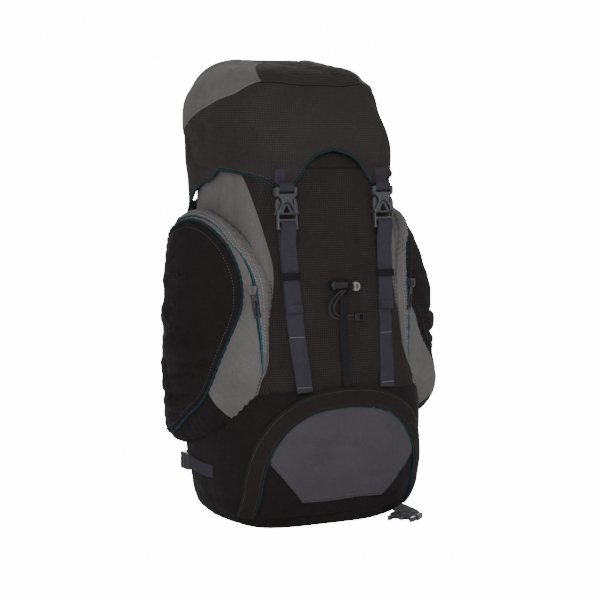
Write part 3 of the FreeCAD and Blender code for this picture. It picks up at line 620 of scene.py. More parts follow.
def makeStudio():
    size = 9.0
    grid = np.zeros((40, 12, 3))
    back = np.concatenate([np.linspace(-size, 2.2, 22),
            2.2 + 1.5 * np.sin(np.linspace(0, math.pi / 2, 14)),
                           np.full(4, 3.7)])
    up = np.concatenate([np.zeros(22), 1.5 * (1 - np.cos(np.linspace(0, math.pi / 2, 14))),
                         np.linspace(2.2, 6, 4)])
    grid[:, :, 0] = np.linspace(-size, size, 12)[None, :]
    grid[:, :, 1] = back[:, None]
    grid[:, :, 2] = up[:, None]
    material, tree, shader = newFinish("studioFloor", 0.9)
    spot = tree.nodes.new("ShaderNodeTexCoord").outputs["Object"]
    worn = placed(tree, toneEffect, {"Place": spot, "Size": 1.2, "Amount": 0.02})
    tree.links.new(toned(tree, (0.96, 0.96, 0.96), worn["Tone"]), shader.inputs["Base Color"])
    seen = tree.nodes.new("ShaderNodeLightPath").outputs["Is Camera Ray"]
    shader.inputs["Emission Color"].default_value = (1, 1, 1, 1)
    tree.links.new(calc(tree, "MULTIPLY", seen, 14.0), shader.inputs["Emission Strength"])
    floor = sheetMesh("studio_floor", grid, material)
    turn = math.radians(studio["azimuth"])
    floor.rotation_euler = (0, 0, turn)
    world = bpy.data.worlds.new("studio")
    world.use_nodes = True
    world.node_tree.nodes["Background"].inputs[0].default_value = (1, 1, 1, 1)
    tree = world.node_tree
    seen = tree.nodes.new("ShaderNodeLightPath").outputs["Is Camera Ray"]
    glow = calc(tree, "MULTIPLY_ADD", seen, 15.0, 0.42)
    tree.links.new(glow, tree.nodes["Background"].inputs[1])
    bpy.context.scene.world = world
    for name, spot, size, power in (("keyLight", (-1.8, -2.8, 1.2), 1.8, 58),
                                    ("fillLight", (2.0, -1.8, 1.2), 1.8, 8),
                                    ("topLight", (-0.6, 0.4, 2.8), 1.6, 1.2),
                                    ("backLight", (1.0, 2.6, 1.3), 1.8, 34)):
        lamp = bpy.data.lights.new(name, "AREA")
        lamp.size = size
        lamp.energy = power
        holder = bpy.data.objects.new(name, lamp)
        holder.location = spot
        aim = Vector((0, 0, 0.3)) - Vector(spot)
        holder.rotation_euler = aim.to_track_quat("-Z", "Y").to_euler()
        bpy.context.scene.collection.objects.link(holder)
    lens = bpy.data.cameras.new("camera")
    lens.lens = studio["lens"]
    lens.sensor_width = 36
    camera = bpy.data.objects.new("camera", lens)
    a, e = math.radians(studio["azimuth"]), math.radians(studio["elevation"])
    back = Vector((math.sin(a) * math.cos(e), -math.cos(a) * math.cos(e), math.sin(e)))
    right = Vector((math.cos(a), math.sin(a), 0))
    target = right * studio["aside"] + Vector((0, 0, studio["aimUp"]))
    camera.location = target + back * studio["distance"]
    camera.rotation_euler = (-back).to_track_quat("-Z", "Y").to_euler()
    bpy.context.scene.collection.objects.link(camera)
    bpy.context.scene.camera = camera


makeStudio()
print("studio ready")


# the bag

bagTable = {
    "up": [0, 6, 18, 40, 80, 140, 200, 260, 330, 400, 450, 490, 522],
    "half": [111, 128, 142, 154, 160, 160, 154, 147, 140, 138, 136, 134, 131],
    "fore": [108, 122, 134, 148, 160, 166, 165, 157, 149, 141, 134, 129, 126],
    "rear": [80, 86, 92, 98, 100, 100, 100, 100, 100, 100, 100, 100, 100],
    "frontPower": [4, 4, 4, 4, 4, 4, 4, 3.4, 3.1, 3, 3, 3, 3],
    "pinch": [0.12, 0.12, 0.12, 0.12, 0.08, 0.03, 0, 0, 0, 0, 0, 0, 0],
}
seamTable = {"up": [0, 60, 110, 200, 240, 300, 380, 435, 517],
        "x": [100, 118, 128, 137, 118, 110, 100, 110, 125]}
bagMiddle = -0.020
wide, deep, tall = bagHalf / 0.138, bagFront / 0.151, rimUp / 0.520


def bagAt(phi, z):
    up = np.asarray(z) / tall / mm
    def row(key):
        return smoothTable(up, bagTable["up"], bagTable[key])
    half, fore, rear = row("half") * mm * wide, (row("fore") * mm
            - 0.02) * deep, row("rear") * mm + 0.02
    power = row("frontPower")
    s, c = np.sin(phi), np.cos(phi)
    power = np.where(c > 0, power, 3.7)
    x = half * np.sign(s) * np.abs(s)**(2 / power)
    reach = np.abs(c)**(2 / power)
    y = bagMiddle + np.where(c > 0, -fore * reach, rear * reach)
    x = x * (1 - row("pinch") * np.clip((y - bagMiddle) / rear, 0, 1))
    return np.stack(np.broadcast_arrays(x, y, z), -1)


def phiOf(x, z):
    up = np.asarray(z) / tall / mm
    half = smoothTable(up, bagTable["up"], bagTable["half"]) * mm * wide
    power = smoothTable(up, bagTable["up"], bagTable["frontPower"])
    return np.sign(x) * np.arcsin(np.clip(np.abs(x) / half, 0, 1)**(power / 2))


# the girth at each height, so that a piece can be laid by its distance from the middle of the front
girthUp = np.linspace(0, 0.522, 131)
girthPhi = np.linspace(0, math.pi, 721)
girthRun = np.concatenate([np.zeros((131, 1)), np.cumsum(np.linalg.norm(
    np.diff(bagAt(girthPhi[None, :], girthUp[:, None]), axis=1), axis=2), axis=1)], 1)


def phiAlong(u, z):
    u, z = np.broadcast_arrays(np.asarray(u, float), np.asarray(z, float))
    out = np.zeros(u.shape)
    for i, (a, b) in enumerate(zip(u.ravel(), z.ravel())):
        k = np.clip(b / girthUp[1], 0, 129.999)
        f = k - int(k)
        run = girthRun[int(k)] * (1 - f) + girthRun[int(k) + 1] * f
        out.flat[i] = math.copysign(np.interp(abs(a), run, girthPhi), a)
    return out


def alongOf(x, z):
    # distance round from the middle of the front to a place at x
    x, z = np.broadcast_arrays(np.asarray(x, float), np.asarray(z, float))
    phi = phiOf(x, z)
    out = np.zeros(x.shape)
    for i, (a, b) in enumerate(zip(phi.ravel(), z.ravel())):
        k = np.clip(b / girthUp[1], 0, 129.999)
        f = k - int(k)
        run = girthRun[int(k)] * (1 - f) + girthRun[int(k) + 1] * f
        out.flat[i] = math.copysign(np.interp(abs(a), girthPhi, run), a)
    return out


bagFolds = {"puff": 2.4, "upright": 2.6, "level": 1.6, "strapPress": 2.2, "fine": 0.5}


def bagSwell(p):
    # how far the filled cloth stands off its plain shape
    x, z = p[..., 0] / mm, p[..., 2] / mm
    swell = bagFolds["puff"] * softNoise(p, 0.085, 3)
    swell = swell + bagFolds["upright"] * crease(p, (0.045, 0.06, 0.22), 5) * step01(z, 215, 270)
    swell = swell + bagFolds["level"] * crease(p, (0.16, 0.12, 0.035),
            7) * (1 - step01(z, 330, 420))
    swell = swell + bagFolds["fine"] * crease(p, (0.02, 0.02, 0.05), 9)
    front = 1 - step01(p[..., 1], -0.12, -0.09)
    lane = 75 + (z - 290) * 0.045
    press = bump(np.abs(x), lane, 13) * step01(z, 205, 225) * front
    swell = swell * (1 - 0.8 * press) - bagFolds["strapPress"] * press
    swell = swell - 4.0 * bump(z, 207, 7) - 3 * bump(z, 4, 10)
    quiet = bump(x, 0, 40) * bump(z, 325, 45) * front
    return swell * (1 - 0.75 * quiet) * mm


def bagSpot(u, z, out=0.0, swell=True):
    u, z = np.broadcast_arrays(np.asarray(u, float), np.asarray(z, float))
    phi = phiAlong(u, z)
    p = bagAt(phi, z)
    small = 0.001
    side = bagAt(phi + 0.004, z) - bagAt(phi - 0.004, z)
    rise = bagAt(phi, z + small) - bagAt(phi, z - small)
    n = unit(np.cross(side, rise))
    off = np.asarray(out, float) + (bagSwell(p) if swell else 0)
    return p + n * np.asarray(off)[..., None], n


# the arch of the lower opening, as distance along and height
archInner = [(128, 22), (128, 60), (127, 85), (121, 112), (110, 135), (94, 155), (72, 169),
        (45, 178), (0, 182)]
archHalfLine = np.array([(alongOf(x * mm * wide, z * mm), z * mm) for x, z in archInner], float)
archLine = np.concatenate([archHalfLine * (-1, 1), archHalfLine[-2::-1]])
archLine = curveThrough(archLine, 220)


def archOffset(grow):
    ahead = unit(np.gradient(archLine, axis=0))
    outward = np.stack([-ahead[:, 1], ahead[:, 0]], 1)
    return archLine + outward * grow


def halfAt(z, outline):
    line = outline[len(outline) // 2:][::-1]
    return np.interp(z, line[:, 1], line[:, 0])


def insideArch(u, z, grow):
    line = archOffset(grow)
    line = line[line[:, 0] >= 0]
    order = np.argsort(line[:, 1])
    line = line[order]
    return (np.abs(u) < np.interp(z, line[:, 1], line[:, 0])) & (z < line[-1, 1]) & (z > line[0, 1])


def makeBag():
    rows = np.concatenate([np.array([0, 2, 5, 9, 14]), np.linspace(20, 522, 124)]) * mm
    grid = []
    for z in rows:
        edge = smoothTable(z / mm, seamTable["up"], seamTable["x"]) * mm * wide
        x = np.linspace(-edge, edge, 73)
        fore = bagAt(phiOf(x, z), z)
        turn = phiOf(edge, z)
        rest = bagAt(np.linspace(turn, 2 * math.pi - turn, 700), z)
        rest = evenly(rest, 152)
        grid.append(np.concatenate([fore, rest[1:-1]]))
    grid = np.array(grid)
    normal = gridNormals(grid, closed=True)
    swell = bagSwell(grid)
    column = np.arange(grid.shape[1])
    z = grid[..., 2] / mm
    seam = np.minimum(np.abs(column - 0),
            np.minimum(np.abs(column - 72), np.abs(column - grid.shape[1])))
    swell = swell - 2.2 * mm * np.exp(-(seam[None, :] / 1.2)**2) * step01(z, 215, 240)
    rear = step01(grid[..., 1], 0.075, 0.095)
    swell = swell * (1 - 0.85 * rear)
    swell = swell * step01(z, -2, 25)
    grid = grid + normal * swell[..., None]
    cap = [grid[0] * (f, f, 1) + (0, -0.004 * (1 - f), 0) for f in (0.0, 0.35, 0.62, 0.82, 0.93,
            0.98)]
    grid = np.concatenate([np.array(cap), grid])
    centre = (grid[:-1] + grid[1:])[:, :] / 2
    centre = (centre + np.roll(centre, -1, 1)) / 2
    panel = np.zeros(centre.shape[:2], int)
    frontPart = np.zeros(grid.shape[1], bool)
    frontPart[:72] = True
    up = centre[..., 2] / mm
    panel[~np.broadcast_to(frontPart, panel.shape) & (up > 205)] = 1
    panel[(centre[..., 1] > 0.085) & (up > 20)] = 2
    panel[up < 205] = 2
    # leave out the opening behind the lower door
    along = np.zeros(panel.shape)
    low = np.where((up > 20) & (up < 195) & (centre[..., 1] < -0.02))
    along[low] = alongOf(np.clip(centre[..., 0][low], -0.152 * wide, 0.152 * wide),
            centre[..., 2][low])
    hole = np.zeros(panel.shape, bool)
    hole[low] = insideArch(along[low], centre[..., 2][low], 0.009)
    bag = sheetMesh("bag_cloth", grid, [ripstop, greyTwill, packCloth, liningCloth], closed=True,
            panel=panel)
    mesh = bag.data
    cut = set(np.where(hole.ravel())[0].tolist())
    work = bmesh.new()
    work.from_mesh(mesh)
    work.faces.ensure_lookup_table()
    bmesh.ops.delete(work, geom=[work.faces[i] for i in cut], context="FACES")
    bmesh.ops.remove_doubles(work, verts=work.verts, dist=0.00005)
    work.to_mesh(mesh)
    work.free()
    settle(thicken(bag, 0.0016, lining=3), "root", "main_bag", slot="main_fabric")
    return bag


def makeRearPanel():
    # seams either side of the back
    for name, run in (("left_back_seam", -1), ("right_back_seam", 1)):
        points = []
        for z in np.linspace(24, 430, 120) * mm:
            p = bagAt(np.linspace(math.pi / 2, math.pi, 300), z)
            y = np.interp(118 * mm * wide, p[::-1, 0], p[::-1, 1])
            points.append((run * 118 * mm * wide, y - 0.0004, z))
        line = tube(name, np.array(points), 0.0014, pipingCloth)
        settle(line, "root", slot="side_fabric")


bag = makeBag()
makeRearPanel()
print("bag sewn")


# the lower door, its patch, the zip and the storm flap

doorShape = {"overlap": 6.5, "puff": 2.5, "patchLow": 46, "patchFoot": 66, "patchSide": 119,
        "patchSideUp": 105}


def doorSwell(p):
    swell = 2.0 * softNoise(p, 0.07, 21) + 1.7 * crease(p, (0.11, 0.1, 0.03),
            23) + 0.5 * crease(p, 0.018, 27)
    return swell * mm


def doorSpot(u, z, out):
    p, n = bagSpot(u, z, 0, swell=False)
    edge = archOffset(0.002)
    half = halfAt(np.asarray(z), edge)
    inner = np.clip(1 - (np.abs(u) / np.maximum(half, 0.004))**4, 0, 1)
    top = step01((edge[:, 1].max() - np.asarray(z)) / mm, 0, 18)
    swell = (doorSwell(p) + doorShape["puff"] * mm) * inner * top - 0.001
    return p + n * (swell + out)[..., None], n


def doorGrid(lowUp, highUp, halfLine, rows, cols, out):
    share = np.sin(np.linspace(0, math.pi / 2, rows))
    z = (lowUp + (highUp - lowUp) * share)[:, None].repeat(cols, 1)
    u = halfLine(z[:, 0])[:, None] * np.linspace(-1, 1, cols)[None, :]
    return doorSpot(u, z, np.full(u.shape, out))[0], np.stack([u, z], -1)


def makeDoor():
    outline = archOffset(doorShape["overlap"] * mm)
    grid, uv = doorGrid(outline[0, 1], outline[:, 1].max() - 1e-4,
            lambda z: halfAt(z, outline), 70, 110, 0.0)
    door = sheetMesh("door_cloth", grid, [packCloth, liningCloth], uv=uv)
    settle(thicken(door, 0.0012, lining=1), "lower_door", "lower_door", slot="main_fabric")
    inner = archOffset(0.003)
    low = doorShape["patchLow"] * mm
    side = doorShape["patchSideUp"] * mm
    foot = doorShape["patchFoot"]

    def patchHalf(z):
        slope = foot + (doorShape["patchSide"] - foot) * np.clip((z - low) / (side - low), 0, 1)
        return np.minimum(alongOf(slope * mm, z), halfAt(z, inner))
    grid, uv = doorGrid(low, inner[:, 1].max() - 1e-4, patchHalf, 70, 110, 0.0007)
    patch = sheetMesh("door_patch", grid, slateCloth, uv=uv)
    settle(thicken(patch, 0.0007, 1), "lower_door", slot="side_fabric")
    rim = []
    for z in np.linspace(side, low, 30):
        rim.append((-float(patchHalf(np.array([z]))[0]), z))
    for f in np.linspace(-1, 1, 40)[1:-1]:
        rim.append((f * float(patchHalf(np.array([low]))[0]), low))
    rim += [(-a, b) for a, b in rim[:30][::-1]]
    rim = evenly(np.array(rim), 240)
    line, up = doorSpot(rim[:, 0], rim[:, 1], np.full(240, 0.0012))
    settle(tube("patch_hem", line, 0.0011, slateCloth), "lower_door", slot="side_fabric")
    inside = rim * (0.975, 1) + (0, 0.004)
    line, up = doorSpot(inside[:, 0], inside[:, 1], np.full(240, 0.0015))
    settle(stitches("patch_stitches", line, up, threadGrey), "lower_door", slot="side_fabric")
    teeth = archOffset(-0.001)[6:-6]
    line, up = doorSpot(teeth[:, 0], teeth[:, 1], np.full(len(teeth), 0.0016))
    settle(tube("door_zip_coil", line, 0.0013, tealZip), "lower_door", "lower_zip", slot="zip_tape")


def makeFlap():
    # folded band over the door's zip, turned in at both edges
    across = [(-0.6, -0.5), (-1.2, 1.2), (0, 2.6), (3, 3.3), (12, 3.6), (21, 3.2), (24.5, 2.0),
            (26, 0.2)]
    lines = []
    for grow, out in across:
        line = archOffset(grow * mm)
        line = evenly(line, 260)
        p, n = bagSpot(line[:, 0], np.maximum(line[:, 1], 0.02), 0, swell=False)
        ruffle = 0.7 * softNoise(p, 0.03, 41) + 0.5 * crease(p, (0.02, 0.02, 0.02), 43)
        lines.append(p + n * (out + ruffle * min(1, max(out, 0)))[:, None] * mm)
    grid = np.array(lines)
    flap = sheetMesh("flap_band", grid, flapCloth, flip=True)
    settle(thicken(flap, 0.0012, soft=True), "root", "storm_flap", slot="side_fabric")
    settle(tube("flap_piping", grid[1], 0.0017, pipingCloth), "root", slot="side_fabric")
    for name, row, other, share in (("flap_stitches_in", 3, 2, 0.25),
            ("flap_stitches_out", 5, 6, 0.2)):
        line = grid[row] * (1 - share) + grid[other] * share
        up = gridNormals(grid)[row]
        up = up * np.sign((up * (line - (0, 0, 0.1))).sum(-1, keepdims=True))
        settle(stitches(name, line + up * 0.0008, up, threadGrey), "root", slot="side_fabric")


makeDoor()
makeFlap()
print("lower door and storm flap sewn")


# side pockets: an outline sewn to the bag, a piped outer edge, and a full face

pocketRoot = [(137, 70, 430), (137, 45, 455), (137, 0, 460), (135, -45, 449), (126, -88, 425),
              (112, -108, 395), (103, -122, 370), (102, -128, 340), (108, -130, 300),
            (114, -134, 260),
              (124, -138, 225), (135, -135, 195), (146, -112, 168), (150, -70, 142),
            (150, -20, 122),
              (149, 30, 115), (147, 70, 125), (145, 84, 160), (142, 88, 230), (139, 88, 320),
              (138, 84, 390)]
pocketEdge = [(179, 45, 425), (180, 22, 438), (172, -5, 447), (165, -35, 443), (157, -60, 430),
              (148, -80, 410), (141, -96, 382), (137, -102, 355), (139, -104, 327),
            (147, -104, 305),
              (157, -91, 270), (168, -85, 240), (177, -77, 210), (183, -60, 185), (187, -30, 165),
              (189, 16, 135), (184, 48, 144), (180, 62, 200), (179, 65, 270), (178, 62, 340),
              (178, 56, 395)]
pocketShape = {"gussetBulge": 10, "faceOut": 205, "faceMiddle": (0, 290), "roundness": 2.3,
               "levelFolds": 4.0, "puff": 2.6, "seamPucker": 0.8, "rightFull": 25}


def loopThrough(points, perSpan):
    p = np.asarray(points, float)
    n = len(p)
    t = np.arange(n * perSpan) / perSpan
    i = t.astype(int)
    f = (t - i)[:, None]
    a, b, c, d = p[(i - 1) % n], p[i % n], p[(i + 1) % n], p[(i + 2) % n]
    return 0.5 * (2 * b + (c - a) * f + (2 * a - 5 * b + 4 * c - d) * f**2
                  + (3 * b - a - 3 * c + d) * f**3)


class Surface:
    # a grid that pieces can be laid on by column and row
    def __init__(self, grid, closed, flip=False):
        self.grid = grid
        self.normal = gridNormals(grid, closed) * (-1 if flip else 1)
        self.closed = closed

    def spot(self, column, row, out=0.0):
        column, row = np.broadcast_arrays(np.asarray(column, float), np.asarray(row, float))
        rows, cols = self.grid.shape[:2]
        column = column % cols if self.closed else np.clip(column, 0, cols - 1.001)
        row = np.clip(row, 0, rows - 1.001)
        i, j = row.astype(int), column.astype(int)
        f, g = (row - i)[..., None], (column - j)[..., None]
        k = (j + 1) % cols

        def mix(a):
            return (a[i, j] * (1 - g) + a[i, k] * g) * (1 - f) + (a[i + 1, j] * (1 - g) + a[i + 1,
                    k] * g) * f
        n = unit(mix(self.normal))
        return mix(self.grid) + n * np.broadcast_to(np.asarray(out, float), column.shape)[...,
                None], n


perSpan = 9
gussetRows, faceRows = 16, 34


def pocketGrid(sign):
    root = loopThrough(pocketRoot, perSpan)
    edge = loopThrough(pocketEdge, perSpan)
    column = np.arange(len(root)) / perSpan
    along = unit(np.roll(root, -1, 0) - np.roll(root, 1, 0))
    out = unit(np.cross(along, edge - root))
    middle = np.array([165, -10, 290])
    out = out * np.sign(((edge + root) / 2 - middle)[:, None, :] @ out[:, :, None])[:, 0]
    front = bump(column, 8, 3.2)
    height = pocketShape["gussetBulge"] * (0.75 + 0.45 * front)
    rows = []
    for r in np.linspace(0, 1, gussetRows):
        rows.append(root + (edge - root) * r + out * (height * math.sin(math.pi * r)**0.85)[:,
                None])
    cy, cz = pocketShape["faceMiddle"]
    for r in np.linspace(0, 1, faceRows)[1:]:
        x = edge[:, 0] + (pocketShape["faceOut"] - edge[:,
                0]) * (1 - (1 - r)**pocketShape["roundness"])
        y = edge[:, 1] + (cy - edge[:, 1]) * r
        z = edge[:, 2] + (cz - edge[:, 2]) * r
        rows.append(np.stack([x, y, z], 1))
    grid = np.array(rows)
    outward = gridNormals(grid, closed=True)
    if (outward[gussetRows + 10, :, 0]).mean() < 0:
        outward = -outward
    seed = 60 if sign > 0 else 80
    p = grid * mm
    share = np.concatenate([np.zeros(gussetRows), np.linspace(0, 1, faceRows)[1:]])[:, None]
    z = grid[..., 2]
    onFace = step01(share, 0.02, 0.25)
    swell = pocketShape["puff"] * softNoise(p, 0.06, seed) * (0.4 + 0.6 * onFace)
    level = crease(p + 0.006 * softNoise(p, 0.05, seed + 3)[..., None] * (0, 0, 1),
            (0.2, 0.11, 0.026), seed + 1)
    swell = swell + pocketShape["levelFolds"] * 1.5 * (level - 0.2) * onFace * (0.55 + 0.45
            * bump(z, 230, 90))
    swell = swell + 1.2 * crease(p, (0.03, 0.02, 0.014), seed + 5) * onFace
    fold = bump(share, 0.0, 0.02)
    swell = swell - pocketShape["seamPucker"] * fold * (1
            + np.sin(np.arange(grid.shape[1]) * 2.1 + seed))[None, :]
    guss = np.concatenate([np.sin(np.linspace(0, math.pi, gussetRows)),
            np.zeros(faceRows - 1)])[:, None]
    swell = swell + guss * (0.5 * crease(p, (0.03, 0.03, 0.03), seed + 7) + 0.5 * softNoise(p,
            0.035, seed + 8))
    grid = grid + outward * swell[..., None]
    if sign > 0:
        full = pocketShape["rightFull"] * step01(-grid[..., 1], -30,
                30) * (1 - 0.3 * step01(grid[..., 2], 400, 450))
        grid[..., 0] += full * step01(grid[..., 0], 125, 185)
        fore = 12 * bump(grid[..., 2], 230, 95) * step01(grid[..., 0], 150,
                200) * step01(-grid[..., 1], 0, 60)
        grid[..., 1] -= fore
    grid = grid * mm * (sign, 1, 1)
    return grid


def makePocket(sign):
    side = sideOf(sign)
    grid = pocketGrid(sign)
    flip = sign < 0
    surface = Surface(grid, True, flip)
    if surface.normal[gussetRows + 10, :, 0].mean() * sign < 0:
        surface = Surface(grid, True, not flip)
    rows, cols = grid.shape[:2]
    panel = np.ones((rows - 1, cols), int)
    column = np.arange(cols) / perSpan
    grey = (column < 12.2) | (column > 20.2)
    panel[:gussetRows - 1, grey] = 0
    pocket = sheetMesh(f"{side}_pocket_cloth", grid, [greyTwill, packCloth, liningCloth],
            closed=True, panel=panel,
                       flip=flip)
    settle(thicken(pocket, 0.0012, lining=2), "root", f"{side}_side_pocket", slot="side_fabric")
    edge = surface.spot(np.arange(cols), gussetRows - 1, 0.0012)[0]
    settle(tube(f"{side}_pocket_piping", edge, 0.0019, pipingCloth, closed=True), "root",
            slot="side_fabric")
    edge = surface.spot(np.arange(cols), gussetRows + 1.2, 0.0009)
    settle(stitches(f"{side}_pocket_stitches", edge[0], edge[1], threadGrey, pitch=0.0045),
            "root", slot="side_fabric")
    # zip flap: a folded band that crosses the gusset from the face down to the front seam
    steps = 170
    columns = np.linspace(1.0, 9.75, steps) * perSpan
    last = gussetRows - 1
    zipShare = np.interp(columns / perSpan, [1, 2.5, 4, 5.5, 7, 8, 9, 9.75],
            [0.86, 0.82, 0.74, 0.63, 0.47, 0.33, 0.16, 0.02])
    flapWide = np.interp(columns / perSpan, [1, 2, 4, 6, 8, 9.3, 9.75],
            [0.2, 0.42, 0.5, 0.46, 0.3, 0.13, 0.02])
    profile = [(1.0, 0.1), (0.97, 1.1), (0.8, 1.9), (0.5, 2.1), (0.2, 2.3), (0.04, 2.5),
            (0.0, 1.6), (0.0, 0.3)]
    band = []
    for share, out in profile:
        row = np.maximum(zipShare - flapWide * share, 0.0)
        band.append(surface.spot(columns, row * last, out * mm)[0])
    band = np.array(band)
    flap = sheetMesh(f"{side}_zip_flap", band, greyTwill, flip=flip)
    settle(thicken(flap, 0.0009), "root", slot="side_fabric")
    for name, share in (("a", 0.1), ("b", 0.42)):
        row = np.maximum(zipShare - flapWide * share, 0.0) * last
        line, up = surface.spot(columns, row, 0.0030)
        settle(stitches(f"{side}_flap_stitches_{name}", line[:-12], up[:-12], threadWhite,
                pitch=0.0046, long=0.0024,
                        radius=0.00035), "root", slot="side_fabric")
    seam, up = surface.spot(np.arange(2.0 * perSpan, 13 * perSpan), 0.55, 0.0005)
    settle(stitches(f"{side}_seam_stitches", seam, up, elasticCloth, pitch=0.0055, long=0.003,
            radius=0.0004),
           "root", slot="side_fabric")
    # zip tape and its coil beside the flap
    tape = []
    opening = np.interp(columns / perSpan, [1, 5, 7.2, 8.6, 9.75], [0.03, 0.05, 0.15, 0.12, 0.02])
    for share, out in ((0.0, 0.5), (0.35, 1.0), (0.7, 1.0), (1.0, 0.5)):
        tape.append(surface.spot(columns, (zipShare + opening * share) * last, out * mm)[0])
    tape = sheetMesh(f"{side}_zip_tape", np.array(tape), zipTape, flip=not flip)
    settle(thicken(tape, 0.0005, 1), "root", slot="zip_tape")
    coil = surface.spot(columns, (zipShare + opening * 0.3) * last, 0.0016)[0]
    coil = tube(f"{side}_zip_coil", coil,
            np.interp(columns / perSpan, [1, 6.4, 7.0, 9.75], [0.0007, 0.0008, 0.0013, 0.0011]),
            tealZip)
    settle(coil, "root", *rightOnly(sign, "pocket_zips"), slot="zip_tape")
    return surface


makePocket(-1)
makePocket(1)
print("side pockets sewn")


# zip sliders and their pulls

def facing(spot, out, up):
    # a frame with x across, y up and z out
    z = Vector(out).normalized()
    y = (Vector(up) - z * Vector(up).dot(z)).normalized()
    x = y.cross(z)
    return Matrix(((x.x, y.x, z.x, spot[0]), (x.y, y.y, z.y, spot[1]), (x.z, y.z, z.z, spot[2]),
            (0, 0, 0, 1)))


def oval(w, h, bottom=0.0):
    n, power = 28, 2.6
    a = np.linspace(0, 2 * math.pi, n, endpoint=False)
    return np.stack([w / 2 * np.sign(np.cos(a)) * np.abs(np.cos(a))**(2 / power),
                     bottom + h / 2 * np.sign(np.sin(a)) * np.abs(np.sin(a))**(2 / power)], 1)


def makeSlider(name, low, high, out, body, pullBody, node, pullNode, length):
    middle = (np.array(low) + np.array(high)) / 2
    place = facing(middle, out, (0, 0, 1))
    w = 0.0075
    wedge = rounded([(-w * 0.62, -w * 0.8), (w * 0.62, -w * 0.8), (w, w * 0.9), (-w, w * 0.9)],
            0.0016)
    pieces = [moulded(name, [wedge], 0.0018, 0.0006, zipMetal,
            place @ Matrix.Translation((0, 0, z)))
              for z in (-0.0018, 0.002)]
    bridge = rounded(oblong(-0.0013, -0.004, 0.0013, 0.005), 0.0008)
    pieces.append(moulded(name, [bridge], 0.003, 0.0007, zipMetal,
            place @ Matrix.Translation((0, 0, 0.0042))))
    settle(joinPieces(name, pieces), body, node, slot="zip_metal")
    if pullNode:
        a, b = (np.array(v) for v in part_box(pullNode))
        spot = ((a + b) / 2)
        place = facing(spot, out, (middle - spot) * (1, 1, 1))
        h = length
        shape = rounded([(-0.0052, -h / 2), (0.0052, -h / 2), (0.0046, h / 2), (-0.0046, h / 2)],
                0.0022)
        hole = rounded([(-0.0028, -h * 0.4), (0.0028, -h * 0.4), (0.0024, h * 0.2),
                (-0.0024, h * 0.2)], 0.0014)
        pull = moulded(pullNode + "_tab", [shape, hole], 0.0028, 0.0008, blackPlastic, place)
        settle(pull, pullBody, pullNode, slot="black_plastic")


for side, sign in (("left", -1), ("right", 1)):
    low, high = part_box(f"{side}_zip_slider")
    makeSlider(f"{side}_slider_body", low, high, (sign * 0.55, -0.83, 0), f"{side}_zip_slider",
            f"{side}_zip_pull",
               f"{side}_zip_slider", f"{side}_zip_pull", 0.034)
print("pocket zips made")


# the lid

lidShape = {"half": 141.5, "aside": -4.5, "lean": 5, "middle": -4.5, "reach": 124, "power": 2.9,
        "rearPower": 3.8, "shoulder": 560, "crown": 120,
            "tilt": 0.12, "puff": 3.2, "folds": 3.0, "piping": 1.7}
lidEdge = {"turn": [0, 5.7, 10, 15, 19.8, 34, 37, 48, 62, 81, 96, 110, 123, 133, 135, 173, 174,
        180],
           "up": [548, 541, 530, 511, 497, 497, 503, 511, 516, 520, 490, 463, 449, 450, 502, 502,
           444, 442]}


def lidAt(turn, level):
    # level runs from -1 at the lower edge through 0 at the shoulder to 1 at the crown
    turn, level = np.broadcast_arrays(np.asarray(turn, float), np.asarray(level, float))
    edge = np.interp(np.degrees(np.abs(turn)), lidEdge["turn"], lidEdge["up"])
    shoulder, crown = lidShape["shoulder"], lidShape["crown"]
    dome = np.clip(level, 0, 1) * math.pi / 2
    z = np.where(level < 0, shoulder + level * (shoulder - edge),
            shoulder + crown * np.sin(dome)**0.72)
    reach = np.cos(dome)**0.64
    reach = reach * (1 - 0.016 * step01(shoulder - z, 0, 90))
    s, c = np.sin(turn), np.cos(turn)
    k = np.where(c > 0, 2 / lidShape["power"], 2 / lidShape["rearPower"])
    aside = lidShape["aside"] * step01(z, 500, 590) - lidShape["lean"] * step01(z, 545, 625)
    tuck = 1 - 0.075 * bump(z, 612, 30) * step01(s, 0.1, 0.7)
    x = aside + tuck * lidShape["half"] * np.sign(s) * np.abs(s)**k * reach
    y = lidShape["middle"] - lidShape["reach"] * np.sign(c) * np.abs(c)**k * reach
    z = z + lidShape["tilt"] * y * step01(z, shoulder, shoulder + crown)
    return np.stack([x, y, z], -1) * mm


def lidSwell(p):
    z = p[..., 2] / mm
    swell = lidShape["puff"] * softNoise(p, (0.08, 0.08, 0.06), 101)
    swell = swell + lidShape["folds"] * crease(p, (0.075, 0.09, 0.05), 103) * 0.8
    swell = swell + 1.0 * crease(p, (0.03, 0.03, 0.045), 105)
    swell = swell - 3.0 * bump(z - 0.12 * p[..., 1] / mm, 658, 4) * step01(-p[..., 1], 0.02, 0.06)
    low = 1 - step01(z, 470, 545)
    front = step01(-p[..., 1], 0.08, 0.11)
    swell = swell * (1 - 0.7 * low)
    pull = bump(np.abs(p[..., 0]) / mm, 81, 16) * front * (1 - step01(z, 505, 600))
    return (swell - 2.2 * pull) * mm


lidColumns = 240
turns = np.linspace(-math.pi, math.pi, 6001)
ring = lidAt(turns, 0.0)
run = runOf(ring)
lidTurns = np.interp(np.linspace(0, run[-1], lidColumns, endpoint=False), run, turns)
lidLevels = np.concatenate([np.linspace(-1, 0, 36)[:-1], np.linspace(0, 1, 120)])


lidPitch = 0.0042


